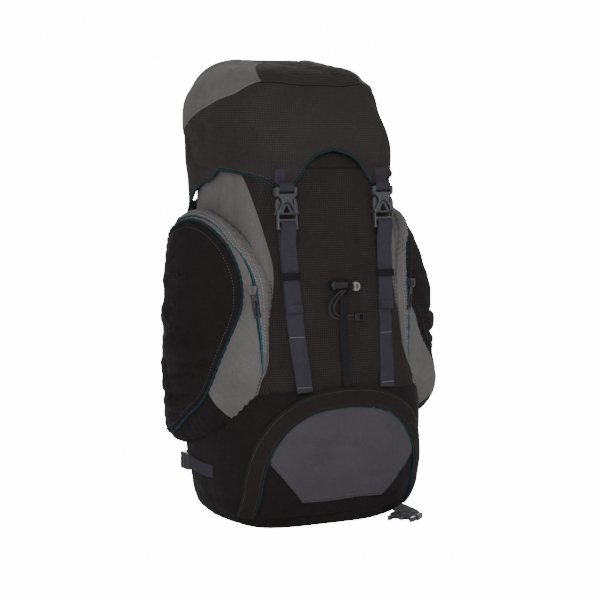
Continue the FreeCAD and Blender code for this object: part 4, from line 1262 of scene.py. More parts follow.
def makeLid():
    fine = lidAt(lidTurns[None, :], lidLevels[:, None])
    skirt = fine[:35]
    dome = np.stack([evenly(fine[34:, k], 46) for k in range(lidColumns)], 1)
    grid = np.concatenate([skirt, dome[1:]])
    normal = gridNormals(grid, closed=True)
    if normal[40, :, :2].ravel() @ grid[40, :, :2].ravel() < 0:
        normal = -normal
    grid = grid + normal * lidSwell(grid)[..., None]
    # the panel behind the zip is pulled flat
    low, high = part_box("lid_zip")
    flat = high.y - 0.0015
    near = bump(grid[..., 2], (low.z + high.z) / 2, 0.022)
    grid[..., 1] = np.where(grid[..., 1] > flat,
            grid[..., 1] + (flat - grid[..., 1]) * np.minimum(1, near * 1.25),
                            grid[..., 1])
    # the crown closes in one point
    grid[-1] = grid[-1].mean(0)
    # the lid takes the lighter ripstop copy, whose extra brightness is painted light
    lid = sheetMesh("lid_cloth", grid, [paintedLightLidCloth, liningCloth], closed=True)
    if lid.data.polygons[2000].normal.dot(Vector(lid.data.polygons[2000].center) - Vector((0, 0,
            0.5))) < 0:
        lid.data.flip_normals()
    settle(thicken(lid, 0.0018, lining=1), "lid", "lid_shell", slot="main_fabric")
    surface = Surface(grid, True)
    if surface.normal[40, :, :2].ravel() @ grid[40, :, :2].ravel() < 0:
        surface = Surface(grid, True, True)
    edge = surface.spot(np.arange(lidColumns), 0.3, 0.0008)[0]
    settle(tube("lid_piping", edge, lidShape["piping"] * mm, pipingCloth, closed=True), "lid",
            slot="side_fabric")
    hem, up = surface.spot(np.arange(lidColumns), 3.2, 0.0004)
    settle(stitches("lid_hem_stitches", hem, up, threadGrey, pitch=lidPitch), "lid",
            slot="main_fabric")
    return surface


lid = makeLid()


def lidPlace(x, y, z):
    # the column and row of the lid nearest to a point
    flat = lid.grid.reshape(-1, 3)
    k = np.argmin(((flat - np.array([x, y, z]) * mm)**2).sum(1))
    return k % lidColumns, k // lidColumns


def makeLidPatches():
    low = [(-85, -84, 648), (-108, -78, 641), (-125, -62, 630), (-138, -4, 606), (-141, 50, 586),
            (-130, 92, 566)]
    high = [(-46, -18, 674), (-48, 0, 675), (-50, 20, 675), (-52, 40, 673), (-56, 60, 670),
            (-62, 82, 662)]
    for side, sign in (("left", 1), ("right", -1)):
        lower = np.array([lidPlace(a * sign - 11, b, c) for a, b, c in low], float)
        upper = np.array([lidPlace(a * sign - 11, b, c) for a, b, c in high], float)
        for line in (lower, upper):
            line[:, 0] = np.unwrap(line[:, 0], period=lidColumns)
        lower = curveThrough(lower, 70)
        upper = curveThrough(upper, 70)
        share = np.linspace(0, 1, 34)[:, None, None]
        spots = lower[None] * (1 - share) + upper[None] * share
        rim = np.minimum(np.minimum(share[..., 0], 1 - share[..., 0]) * 34, 1)
        ends = np.minimum(np.arange(70), 69 - np.arange(70))[None, :]
        rim = np.minimum(rim, np.minimum(ends, 1))
        grid, normal = lid.spot(spots[..., 0], spots[..., 1], 0.0003 + rim * 0.0011)
        gather = 0.9 * crease(grid, (0.012, 0.014, 0.05), 111) * bump(share[..., 0], 0.0, 0.3)
        grid = grid + normal * (gather * rim)[..., None] * mm
        flip = (gridNormals(grid) * normal).sum() < 0
        patch = sheetMesh(f"{side}_lid_patch", grid, greyTwill, flip=flip)
        settle(thicken(patch, 0.0008), "lid", slot="side_fabric")
        for name, row in (("low", 1), ("high", 32)):
            line = grid[row]
            settle(stitches(f"{side}_lid_patch_{name}_stitches", line + normal[row] * 0.0004,
                    normal[row], threadGrey,
                            pitch=0.004), "lid", slot="side_fabric")
    # seam along the front of the crown
    points = [(-97, -84, 646), (-65, -101, 646), (-11, -108, 645), (43, -101, 646), (75, -84, 646)]
    spots = np.array([lidPlace(*p) for p in points], float)
    spots[:, 0] = np.unwrap(spots[:, 0], period=lidColumns)
    spots = curveThrough(spots, 90)
    line = lid.spot(spots[:, 0], spots[:, 1], 0.0003)[0]
    settle(tube("lid_front_seam", line, 0.0009, packCloth), "lid", slot="main_fabric")
    line, up = lid.spot(spots[:, 0], spots[:, 1] + 0.6, 0.0004)
    settle(stitches("lid_front_seam_stitches", line, up, threadGrey, pitch=lidPitch), "lid",
            slot="main_fabric")


def makeLidZip():
    low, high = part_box("lid_zip")
    x = np.linspace(low.x, high.x, 90)
    z = (low.z + high.z) / 2
    y = high.y
    back = lid.grid.reshape(-1, 3)
    back = back[(np.abs(back[:, 2] - z) < 0.004) & (back[:,
            1] > 0.05) & (np.abs(back[:, 0]) < high.x + 0.012)]
    sag = np.minimum(np.polyval(np.polyfit(back[:, 0], back[:, 1], 6), x) - (y - 0.0015), 0)
    grid = np.array([np.stack([x, y - 0.0012 + sag, np.full(90, z + d)], 1) for d in (-0.008,
            0.008)])
    grid = np.array([grid[0] * (1 - f) + grid[1] * f for f in np.linspace(0, 1, 6)])
    grid[1:-1, :, 1] += 0.0016
    tape = sheetMesh("lid_zip_tape", grid, zipTape, flip=True)
    settle(thicken(tape, 0.0006, 0), "lid", "lid_zip", slot="zip_tape")
    line = np.stack([x, y + 0.0010 + sag, np.full(90, z)], 1)
    settle(tube("lid_zip_coil", line, 0.0016, zipTape), "lid", slot="zip_tape")
    low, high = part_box("lid_zip_slider")
    makeSlider("lid_slider_body", (low.x, low.y, z - 0.006), (high.x, high.y, z + 0.006),
            (0, 1, 0), "lid_zip_slider",
               None, "lid_zip_slider", None, 0)
    place = facing(((low.x + high.x) / 2, high.y, z - 0.013), (0, 1, 0), (0, 0, 1))
    tab = moulded("lid_zip_tab",
            [rounded([(-0.004, -0.011), (0.004, -0.011), (0.003, 0.011), (-0.003, 0.011)], 0.002)],
                  0.002, 0.0006, greyPlastic, place)
    settle(tab, "lid_zip_slider", slot="zip_metal")
    low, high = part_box("lid_pocket_floor")
    ring = lidAt(lidTurns[::2], 0.0) * 0.93
    share = np.linspace(0.0, 1, 31)[:, None, None]
    grid = ring[None] * share
    grid[..., 2] = low.z - 0.010 * (1 - share[..., 0]**2)
    grid[..., 2] += 0.001 * softNoise(grid, 0.05, 7)
    floor = sheetMesh("lid_pocket_lining", grid, liningCloth, closed=True)
    settle(thicken(floor, 0.001, 0), "lid", "lid_pocket_floor", slot="main_fabric")


makeLidPatches()
makeLidZip()
print("lid sewn")


# lid straps and side release buckles

buckle = {"tilt": 7.3, "drop": 50, "thick": 10.6, "forward": 129.8}
strap = {"width": 25, "thick": 1.5}


def buckleFrame(sign):
    tilt = math.radians(buckle["tilt"])
    up = Vector((0, math.sin(tilt), math.cos(tilt)))
    out = Vector((0, -math.cos(tilt), math.sin(tilt)))
    low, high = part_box("right_buckle_socket")
    x = (low.x + high.x) / 2 * sign
    centre = (x, -buckle["forward"] * mm * deep, rimUp - buckle["drop"] * mm)
    return facing(centre, out, up)


def scaled(points):
    return [(a * mm, b * mm) for a, b in points]


socketOutline = [(-17, 26), (17, 26), (17, 17), (14.5, 13), (9.5, 8), (8.5, 3), (12, -2),
        (17, -8), (17.5, -13),
                 (13, -12.5), (5, 2.5), (0, 5.5), (-5, 2.5), (-13, -12.5), (-17.5, -13),
            (-17, -8), (-12, -2),
                 (-8.5, 3), (-9.5, 8), (-14.5, 13), (-17, 17)]
webSlot = oblong(-13, 16.8, 13, 21.3)
prong = [(11, -12), (17, -9), (17.5, 2), (16, 9), (13, 11), (12, 7), (13, 0), (10.5, -6)]
tongue = [(-12, -12), (-4, 1.5), (0, 4), (4, 1.5), (12, -12)]
tongueHole = [(-6, -10), (0, 1), (6, -10)]
plugFrame = [(-16, -11), (16, -11), (17, -35), (-17, -35)]
plugSlots = [oblong(-13.5, -19, 13.5, -13.5), oblong(-13, -31.5, 13, -22.5)]


def makeBuckle(sign):
    side = sideOf(sign)
    base = buckleFrame(sign)

    def plate(outlines, thick, out, edge=0.0008, corner=0.0018):
        return moulded("plate", [rounded(scaled(o), corner) for o in outlines], thick * mm, edge,
                greyPlastic,
                       base @ Matrix.Translation((0, 0, out * mm)))
    front = plate([socketOutline, webSlot], 2.2, 4.3)
    rear = plate([socketOutline, webSlot], 2.2, -4.3)
    block = plate([oblong(-17, 13, 17, 26), webSlot], 8, 0)
    rib = plate([[(-3, 7.5), (3, 7.5), (2, 13.5), (-2, 13.5)]], 1.2, 5.6, 0.0005, 0.001)
    mark = plate([oblong(-14, 23.2, 14, 24.4)], 0.6, 5.6, 0.0002, 0.0004)
    settle(joinPieces(f"{side}_socket_moulding", [front, rear, block, rib, mark]), "lid",
            f"{side}_buckle_socket",
           slot="grey_plastic")
    parts = [plate([prong], 5.4, 0), plate([[(-a, b) for a, b in prong][::-1]], 5.4, 0),
             plate([tongue, tongueHole], 4.4, 0),
             plate([plugFrame] + plugSlots, 6.4, 0, 0.0014, 0.0025)]
    grips = [plate([oblong(sign2 * 15.4, -6.5 + k * 2.4, sign2 * 17.6, -5.5 + k * 2.4)], 6, 0,
            0.0003, 0.0004) for sign2 in (-1, 1) for k in range(5)]
    settle(joinPieces(f"{side}_plug_moulding", parts + grips), f"{side}_plug",
            f"{side}_buckle_plug",
           slot="grey_plastic")
    return base


def frontLine(rows, out):
    # points on the bag's front from (x, z) pairs
    rows = np.array(rows, float)
    u = alongOf(rows[:, 0] * mm, rows[:, 1] * mm)
    p, n = bagSpot(u, rows[:, 1] * mm, out, swell=False)
    return p, n


def makeStraps(sign):
    side = sideOf(sign)
    base = makeBuckle(sign)
    strapX = lambda z: np.interp(z, [204, 290, 370, 430, 460], [69, 75, 78, 80, 81]) * sign
    z = np.linspace(205, 424, 90)
    p, n = frontLine(np.stack([strapX(z), z], 1), 0.0010 + 0.0004 * np.sin(z * 0.11))
    down = base @ Vector((0, -0.0335, -0.001))
    p = np.concatenate([p, [np.array(down) + (0, 0.001, -0.004), np.array(down)]])
    n = np.concatenate([n, n[-1:], n[-1:]])
    p = curveThrough(p[::3] if (len(p) - 1) % 3 == 0 else np.concatenate([p[::3], p[-1:]]), 130)
    n = np.array([n[min(int(i * len(n) / 130), len(n) - 1)] for i in range(130)])
    body = ribbon(f"{side}_strap_webbing", p, n, strap["width"] * mm, strap["thick"] * mm,
            webbingCloth)
    settle(body, "root", f"{side}_lid_strap", slot="webbing")
    # the loose tail comes back over the plug's bar and hangs in front of the strap
    z = np.linspace(317, 418, 40)
    tail, up = frontLine(np.stack([strapX(z), z], 1), 0.0042)
    wrap = [base @ Vector((0, v, w)) for v,
            w in ((-0.0385, 0.0035), (-0.0335, 0.0052), (-0.0265, 0.0050),
                                                 (-0.0225, 0.0012), (-0.0235, -0.003),
                (-0.029, -0.0048), (-0.034, -0.0038))]
    line = curveThrough(np.concatenate([tail[::5], [tuple(w) for w in wrap]]), 120)
    ahead = unit(np.gradient(line, axis=0))
    outward = -np.cross(np.array([1.0, 0, 0]), ahead)
    body = ribbon(f"{side}_tail_webbing", line, outward, strap["width"] * mm * 0.985,
            strap["thick"] * mm, webbingCloth)
    settle(body, f"{side}_plug", f"{side}_strap_tail", slot="webbing")
    hem, up = frontLine([(strapX(z), z) for z in (317, 321, 326, 329)], 0.0058)
    settle(ribbon(f"{side}_tail_hem", curveThrough(hem, 12), up[0], 0.0247, 0.0016, webbingCloth),
            f"{side}_plug",
           slot="webbing")
    # a sewn keeper, and bar tacks
    low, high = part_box(f"{side}_strap_keeper")
    middle = np.array([(low.x + high.x) / 2, 0, (low.z + high.z) / 2])
    w, d = 0.0142, 0.0046
    spot, up = frontLine([(middle[0] / mm, middle[2] / mm)], 0.0030)
    angle = np.linspace(0, 2 * math.pi, 49)
    px = w * np.sign(np.cos(angle)) * np.abs(np.cos(angle))**0.3
    pz = d * np.sign(np.sin(angle)) * np.abs(np.sin(angle))**0.5
    out = up[0]
    ringLine = spot[0] + px[:, None] * np.array([1.0, 0, 0]) + pz[:, None] * out
    ahead = unit(np.gradient(ringLine, axis=0))
    keeper = ribbon(f"{side}_keeper_band", ringLine, np.cross((0, 0.1, 1), ahead), 0.0105, 0.0011,
            elasticCloth, ends=False)
    settle(keeper, f"{side}_keeper", f"{side}_strap_keeper", slot="elastic")
    for name, z, out in (("low", 283, 0.0024), ("foot", 212, 0.0024)):
        x = np.linspace(-11, 11, 12) + strapX(z)
        line, up = frontLine(np.stack([x, np.full(12, z)], 1), out)
        bar = ribbon(f"{side}_{name}_tack", line, up, 0.0019, 0.0008, threadGrey)
        settle(bar, "root", slot="webbing")
    # the tab that holds the socket
    top = [lid.spot(*lidPlace(81 * sign, -118, z), 0.0016)[0] for z in (523, 514, 505)]
    loop = [base @ Vector((0, v, w)) for v,
            w in ((0.030, 0.0045), (0.0262, 0.0062), (0.0215, 0.0045), (0.0190, 0),
                                                 (0.0215, -0.0040), (0.0275, -0.0048),
                (0.034, -0.003))]
    top = np.array(top)
    top[:, 0] = loop[0].x
    line = curveThrough(np.concatenate([top, [tuple(v) for v in loop]]), 70)
    ahead = unit(np.gradient(line, axis=0))
    outward = np.cross(ahead, np.array([1.0, 0, 0]))
    tab = ribbon(f"{side}_socket_tab", line, -outward, strap["width"] * mm, 0.0014, webbingCloth)
    settle(tab, "lid", *rightOnly(sign, "lid_buckle_tabs"), slot="webbing")


for sign in (-1, 1):
    makeStraps(sign)
print("lid straps and buckles made")


# tool holder: a narrow strap, a sprung cord lock and a doubled elastic cord

cordRoutes = {
    "outer": [(-1, -153, 348.4), (-15, -154, 340), (-25, -153.5, 324), (-19, -152.2, 309),
        (-2, -151.6, 305.2),
              (19, -151.6, 305.2)],
    "inner": [(4.5, -153, 348.4), (-9, -154, 337.5), (-17, -153.5, 323.5), (-12, -152.2, 312.5),
        (0, -151.6, 310.4),
              (19, -151.6, 310.4)]}
cordFacts = {"outer": 0.0873, "inner": 0.075, "diameter": 0.003}


def makeCord(name, route):
    curve = bpy.data.curves.new(name, "CURVE")
    curve.dimensions = "3D"
    curve.bevel_depth = cordFacts["diameter"] / 2
    curve.bevel_resolution = 4
    curve.resolution_u = 12
    curve.use_fill_caps = True
    spline = curve.splines.new("NURBS")
    spline.points.add(len(route) - 1)
    for point, spot in zip(spline.points, route):
        point.co = (*(v * mm for v in spot), 1)
    spline.order_u = 3
    spline.use_endpoint_u = True
    cord = bpy.data.objects.new(name, curve)
    bpy.context.scene.collection.objects.link(cord)
    curve.materials.append(cordSheath)
    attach(cord, "root")
    return cord


def boxPlate(node, outlines, thick, edge, material):
    low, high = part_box(node)
    place = facing((low + high) / 2, (0, -1, 0), (0, 0, 1))
    return moulded(node + "_moulding", outlines, thick, edge, material, place)


def makeToolHolder():
    for key in ("outer", "inner"):
        cord = makeCord(f"tool_cord_{key}_line", cordRoutes[key])
        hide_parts(f"tool_cord_{key}")
    low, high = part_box("tool_loop_strap")
    z = np.array([low.z - 0.004, low.z + 0.01, 0.26, 0.29, 0.315, high.z, high.z + 0.006])
    p = bagSpot(np.zeros(7), z, 0.0012, swell=False)[0]
    p[:, 1] = np.minimum(p[:, 1], np.interp(z, [0.213, 0.26, high.z], [p[0, 1], -0.1535, -0.1560]))
    line = curveThrough(p, 90)
    settle(ribbon("tool_strap_webbing", line, (0, -1, 0), 0.0125, 0.0013, darkWebbing), "root",
            "tool_loop_strap",
           slot="webbing")
    bar = rounded(oblong(-0.0143, -0.0052, 0.0143, 0.0052), 0.0045)
    lock = boxPlate("tool_cord_lock", [bar], 0.0092, 0.0028, blackPlastic)
    ringOut = rounded(oblong(-0.0078, -0.0064, -0.0125, 0.0064), 0.001)
    band = boxPlate("tool_cord_lock", [ringOut], 0.0104, 0.001, blackPlastic)
    settle(joinPieces("tool_lock_moulding", [lock, band]), "root", "tool_cord_lock",
            slot="grey_plastic")
    low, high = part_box("tool_lock_button")
    w, h = (high.x - low.x) / 2, (high.z - low.z) / 2
    dee = rounded([(-w, -h * 0.8), (w * 0.3, -h * 0.8), (w, -h * 0.35), (w, h * 0.35),
            (w * 0.3, h * 0.8), (-w, h * 0.8)], 0.003)
    eye = oval(w * 0.8, h * 0.7)
    settle(boxPlate("tool_lock_button", [dee, eye], 0.0088, 0.0024, palePlastic),
            "tool_lock_button",
           "tool_lock_button", slot="grey_plastic")
    neck = rounded(oblong(-0.0062, -0.003, 0.0062, 0.003), 0.001)
    low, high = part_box("tool_lock_button")
    place = facing((low.x - 0.0055, (low.y + high.y) / 2, (low.z + high.z) / 2), (0, -1, 0),
            (0, 0, 1))
    settle(moulded("tool_lock_stem", [neck], 0.005, 0.0012, blackPlastic, place),
            "tool_lock_button",
           slot="black_plastic")
    low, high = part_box("tool_lock_anchor")
    w = high.x - low.x
    x = (low.x + high.x) / 2
    line = curveThrough([(x, low.y + 0.016, low.z - 0.001), (x, low.y + 0.007, low.z),
            (x, low.y + 0.0005, low.z + 0.008),
                         (x, low.y + 0.0005, high.z - 0.006), (x, low.y + 0.007, high.z + 0.001),
                (x, low.y + 0.016, high.z)], 50)
    ahead = unit(np.gradient(line, axis=0))
    settle(ribbon("tool_anchor_band", line, np.cross(ahead, (1.0, 0, 0)), w, 0.0012,
            elasticCloth), "root",
           "tool_lock_anchor", slot="elastic")
    tab = rounded(oblong(-0.0079, -0.006, 0.0079, 0.006), 0.002)
    groove = rounded(oblong(0.001, -0.0035, 0.0055, 0.0035), 0.001)
    settle(boxPlate("tool_cord_end", [tab, groove], 0.0052, 0.0013, blackPlastic), "root",
            "tool_cord_end",
           slot="grey_plastic")


makeToolHolder()
print("tool holder made")


# drawcord collar: gathered cloth, drawn in by its cord

def makeCollar():
    low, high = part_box("drawcord_collar")
    cordLow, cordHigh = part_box("collar_cord")
    cols, rows = 240, 26
    a = np.linspace(0, 2 * math.pi, cols, endpoint=False)
    grid = []
    for r in np.linspace(0, 1, rows):
        half = np.interp(r, [0, 0.3, 0.6, 1],
                [(bagHalf - 0.0125), bagHalf - 0.0105, bagHalf - 0.018, cordHigh.x])
        fore = np.interp(r, [0, 0.3, 0.6, 1],
                [0.1205 * deep, 0.1225 * deep, 0.1165 * deep, -cordLow.y])
        rear = np.interp(r, [0, 0.3, 0.6, 1], [high.y, high.y, high.y - 0.003, cordHigh.y])
        k = 2 / 3.2
        s, c = np.sin(a), np.cos(a)
        x = half * np.sign(s) * np.abs(s)**k
        y = -0.01 - (np.where(c > 0, fore - 0.01, rear + 0.01)) * np.sign(c) * np.abs(c)**k
        z = np.interp(r, [0, 0.3, 0.6, 1], [low.z, rimUp + 0.006, rimUp + 0.024, high.z + 0.001])
        row = np.stack([x, y, np.full(cols, z)], 1)
        pleat = (np.sin(a * 34) + 0.5 * np.sin(a * 53 + 1)) * 0.0016 * r**1.5
        row[:, :2] *= (1 - 0.002 + pleat / 0.1)[:, None]
        grid.append(row)
    # the hem rolls over the cord
    last = grid[-1]
    for turn in (40, 90, 140, 180):
        f = math.radians(turn)
        row = last.copy()
        row[:, :2] *= 1 - 0.018 * (1 - math.cos(f)) / 2
        row[:, 2] += 0.0028 * math.sin(f)
        grid.append(row)
    grid = np.array(grid)
    collar = sheetMesh("collar_cloth", grid, [ripstop, liningCloth], closed=True)
    settle(thicken(collar, 0.0009), "root", "drawcord_collar", slot="main_fabric")
    ring = grid[-3] + (0, 0, 0.0022)
    settle(tube("collar_cord_ring", ring, 0.0015, cordSheath, closed=True), "root", "collar_cord",
            slot="cord")
    low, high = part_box("collar_cord_lock")
    place = facing((low + high) / 2, (0, -1, 0), (0, 0, 1))
    shape = rounded([(-0.008, -0.0085), (0.008, -0.0085), (0.008, 0.003), (0.005, 0.0085),
            (-0.005, 0.0085), (-0.008, 0.003)], 0.003)
    lock = moulded("collar_lock_moulding", [shape, oval(0.006, 0.004, -0.003)], 0.0108, 0.0025,
            blackPlastic, place)
    settle(lock, "collar_lock", "collar_cord_lock", slot="black_plastic")
    low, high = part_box("compartment_divider")
    x = np.linspace(-1, 1, 60)
    grid = []
    for y in np.linspace(low.y + 0.008, high.y - 0.004, 50):
        p = bagAt(np.linspace(0, math.pi, 200), 0.189)
        half = np.interp(y, p[:, 1], p[:, 0]) - 0.006
        row = np.stack([x * half, np.full(60, y), np.full(60, low.z)], 1)
        grid.append(row)
    grid = np.array(grid)
    grid[..., 2] += -0.006 * (1 - x[None, :]**2) + 0.0016 * softNoise(grid, 0.05, 9)
    sheet = sheetMesh("divider_cloth", grid, liningCloth)
    settle(thicken(sheet, 0.001, 0), "root", "compartment_divider", slot="main_fabric")


makeCollar()
print("collar drawn in")


# padded harness: each pad is remeshed, then blown up against its own cloth

def puffPad(name, grid, material, pressure=3.5, cap=0.006, channels=None):
    # grid is rows x columns x 3 of a closed tube of sections, capped at both ends
    cols = grid.shape[1]
    closed = np.concatenate([grid[:1].mean(1, keepdims=True).repeat(cols, 1), grid,
                             grid[-1:].mean(1, keepdims=True).repeat(cols, 1)])
    pad = sheetMesh(name, closed, material, closed=True)
    work = bmesh.new()
    work.from_mesh(pad.data)
    bmesh.ops.remove_doubles(work, verts=work.verts, dist=0.00002)
    bmesh.ops.recalc_face_normals(work, faces=work.faces)
    work.to_mesh(pad.data)
    work.free()
    mod = pad.modifiers.new("remesh", "REMESH")
    mod.mode = "VOXEL"
    mod.voxel_size = 0.005
    bakeModifiers(pad)
    before = np.array([v.co[:] for v in pad.data.vertices])
    mod = pad.modifiers.new("cloth", "CLOTH")
    mod.settings.use_pressure = True
    mod.settings.uniform_pressure_force = pressure
    mod.settings.quality = 5
    mod.settings.tension_stiffness = 30
    mod.settings.compression_stiffness = 30
    mod.settings.effector_weights.gravity = 0
    scene = bpy.context.scene
    for step in range(1, 16):
        scene.frame_set(step)
    bakeModifiers(pad)
    scene.frame_set(1)
    after = np.array([v.co[:] for v in pad.data.vertices])
    move = after - before
    far = np.linalg.norm(move, axis=1, keepdims=True)
    spots = before + move * np.minimum(1, cap / np.maximum(far, 1e-6))
    if channels is not None:
        normal = np.array([v.normal[:] for v in pad.data.vertices])
        spots = spots - normal * channels(spots)[:, None]
    pad.data.vertices.foreach_set("co", spots.ravel())
    pad.data.update()
    mod = pad.modifiers.new("soft", "SUBSURF")
    mod.levels = 1
    bakeModifiers(pad)
    for polygon in pad.data.polygons:
        polygon.use_smooth = True
    pad.data.materials.clear()
    pad.data.materials.append(material)
    return pad


def padSections(line, across, face, width, thick, sides=36):
    # flat sections with rounded edges, half as wide and as thick as the pad
    a = np.linspace(0, 2 * math.pi, sides, endpoint=False)
    px = np.sign(np.cos(a)) * np.abs(np.cos(a))**0.42
    py = np.sign(np.sin(a)) * np.abs(np.sin(a))**0.75
    return line[:, None] + across * (px[None, :] * width[:, None])[..., None] \
        + face[:, None] * (py[None, :] * thick[:, None])[..., None]


def padTube(line, outward, width, thick, count=44):
    # sections of a flat pad with soft edges along a line
    line = curveThrough(line, count)
    ahead = unit(np.gradient(line, axis=0))
    face = np.broadcast_to(np.asarray(outward, float), line.shape)
    across = unit(np.cross(ahead, face))
    face = unit(np.cross(across, ahead))
    t = np.linspace(0, 1, count)
    taper = np.minimum(1, np.minimum(t, 1 - t) * 14 + 0.35)
    w = np.interp(t, np.linspace(0, 1, len(np.atleast_1d(width))), np.atleast_1d(width)) / 2
    return padSections(line, across[:, None], face, w * (0.8 + 0.2 * taper), thick / 2 * taper)


harness = {"shoulderThick": 10, "wingThick": 10}
harnessWeb = 0.0014
sternumWide = 0.0195


def makePads():
    low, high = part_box("back_pads")
    back = bagRear + 0.0012
    for name, sign in (("left_back_pad", -1), ("right_back_pad", 1)):
        x = 0.044 * sign
        line = [(x, back + 0.0078, z) for z in (low.z + 0.004, 0.25, 0.33, high.z - 0.004)]
        grid = padTube(np.array(line), (0, 1, 0), [0.054, 0.058, 0.058, 0.052], 0.0145, 60)
        pad = puffPad(name, grid, meshCloth, 2.5, 0.003,
                      channels=lambda p: 0.003 * (bump(p[:, 2], 0.25, 0.004) + bump(p[:, 2],
                    0.335, 0.004)) * (p[:, 1] > back + 0.006))
        settle(pad, "root", *rightOnly(sign, "back_pads"), slot="harness")
    low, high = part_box("lumbar_pad")
    z = (low.z + high.z) / 2
    line = [(x, back + 0.0115 - 0.006 * abs(x / 0.08)**2, z) for x in (low.x + 0.003, -0.04, 0,
            0.04, high.x - 0.003)]
    grid = padTube(np.array(line), (0, 1, 0), [0.07, 0.088, 0.09, 0.088, 0.07], 0.021, 70)
    pad = puffPad("lumbar_cushion", grid, meshCloth, 3, 0.004,
                  channels=lambda p: 0.0035 * (bump(p[:, 0], -0.028, 0.004) + bump(p[:, 0], 0.028,
                0.004)) * (p[:, 1] > back + 0.01))
    settle(pad, "root", "lumbar_pad", slot="harness")


shoulderLine = [(6, 2), (16, 22), (33, 28), (46, 12), (53, -20), (60, -80), (67, -140),
        (60, -200), (46, -224)]


def makeShoulders(sign):
    side = sideOf(sign)
    low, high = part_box(f"{side}_shoulder_strap")
    middle = (low.x + high.x) / 2
    line = []
    for i, (y, z) in enumerate(shoulderLine):
        curve = 0.008 * math.sin(math.pi * i / 8) * sign
        line.append((middle + curve - 0.004 * sign, bagRear + y * mm, 0.44 + z * mm))
    width = [0.046, 0.05, 0.054, 0.055, 0.054, 0.05, 0.045, 0.036, 0.026]
    smooth = curveThrough(line, 80)
    ahead = unit(np.gradient(smooth, axis=0))
    # the pad's flat faces look away from the wearer's shoulder
    across = np.array([1.0, 0, 0])
    face = unit(np.cross(across, ahead))
    t = np.linspace(0, 1, 80)
    w = np.interp(t, np.linspace(0, 1, len(width)), width) / 2
    thick = harness["shoulderThick"] * mm / 2 * np.minimum(1, np.minimum(t, 1 - t) * 12 + 0.4)
    grid = padSections(smooth, across, face, w, thick)
    pad = puffPad(f"{side}_shoulder_pad", grid, padCloth, 2.5, 0.003)
    settle(pad, "root", f"{side}_shoulder_strap", slot="harness")
    out = smooth + face * (-(harness["shoulderThick"] / 2 + 1.6) * mm) * (1 if face[40,
            1] < 0 else -1)
    sewn = ribbon(f"{side}_shoulder_facing", out[8:74], face[8:74], 0.020, harnessWeb, darkWebbing)
    settle(sewn, "root", slot="webbing")
    for run in (-1, 1):
        rim = smooth + across * (w * run)[:, None]
        settle(tube(f"{side}_shoulder_binding_{'in' if run * sign < 0 else 'out'}", rim[1:-1],
                0.0017, pipingCloth), "root",
               slot="side_fabric")


wingPlan = [(92, 108), (99, 128), (92, 148), (70, 164), (40, 172), (12, 175)]


def makeWing(sign):
    side = sideOf(sign)
    low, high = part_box(f"{side}_hip_wing")
    z = (low.z + high.z) / 2
    line = np.array([(a * mm * sign, bagRear + (b - 100) * mm, z) for a, b in wingPlan])
    smooth = curveThrough(line, 70)
    ahead = unit(np.gradient(smooth, axis=0))
    face = unit(np.cross(ahead, (0, 0, 1)))
    t = np.linspace(0, 1, 70)
    w = np.interp(t, [0, 0.3, 0.7, 1], [0.036, 0.037, 0.031, 0.021])
    thick = harness["wingThick"] * mm / 2 * np.minimum(1, np.minimum(t, 1 - t) * 12 + 0.5)
    grid = padSections(smooth, np.array([0, 0, 1.0]), face, w, thick, 40)
    pad = puffPad(f"{side}_wing_pad", grid, padCloth, 2.5, 0.003)
    settle(pad, f"{side}_hip_wing", f"{side}_hip_wing", slot="harness")
    for run, name in ((-1, "low"), (1, "high")):
        rim = smooth.copy()
        rim[:, 2] += w * run
        settle(tube(f"{side}_wing_binding_{name}", rim[1:-1], 0.0017, pipingCloth),
                f"{side}_hip_wing", slot="side_fabric")


makePads()
for sign in (-1, 1):
    makeShoulders(sign)
    makeWing(sign)
print("harness padded")


# webbing and small mouldings of the harness

def strapThrough(name, points, outward, width, thick, body, *nodes):
    line = curveThrough(points, 60)
    strapPiece = ribbon(name, line, outward, width, thick, darkWebbing)
    return settle(strapPiece, body, *nodes, slot="webbing")


def turned(line):
    # outward directions of a strap whose width runs across the pack
    ahead = unit(np.gradient(line, axis=0))
    return np.cross((1.0, 0, 0), ahead)


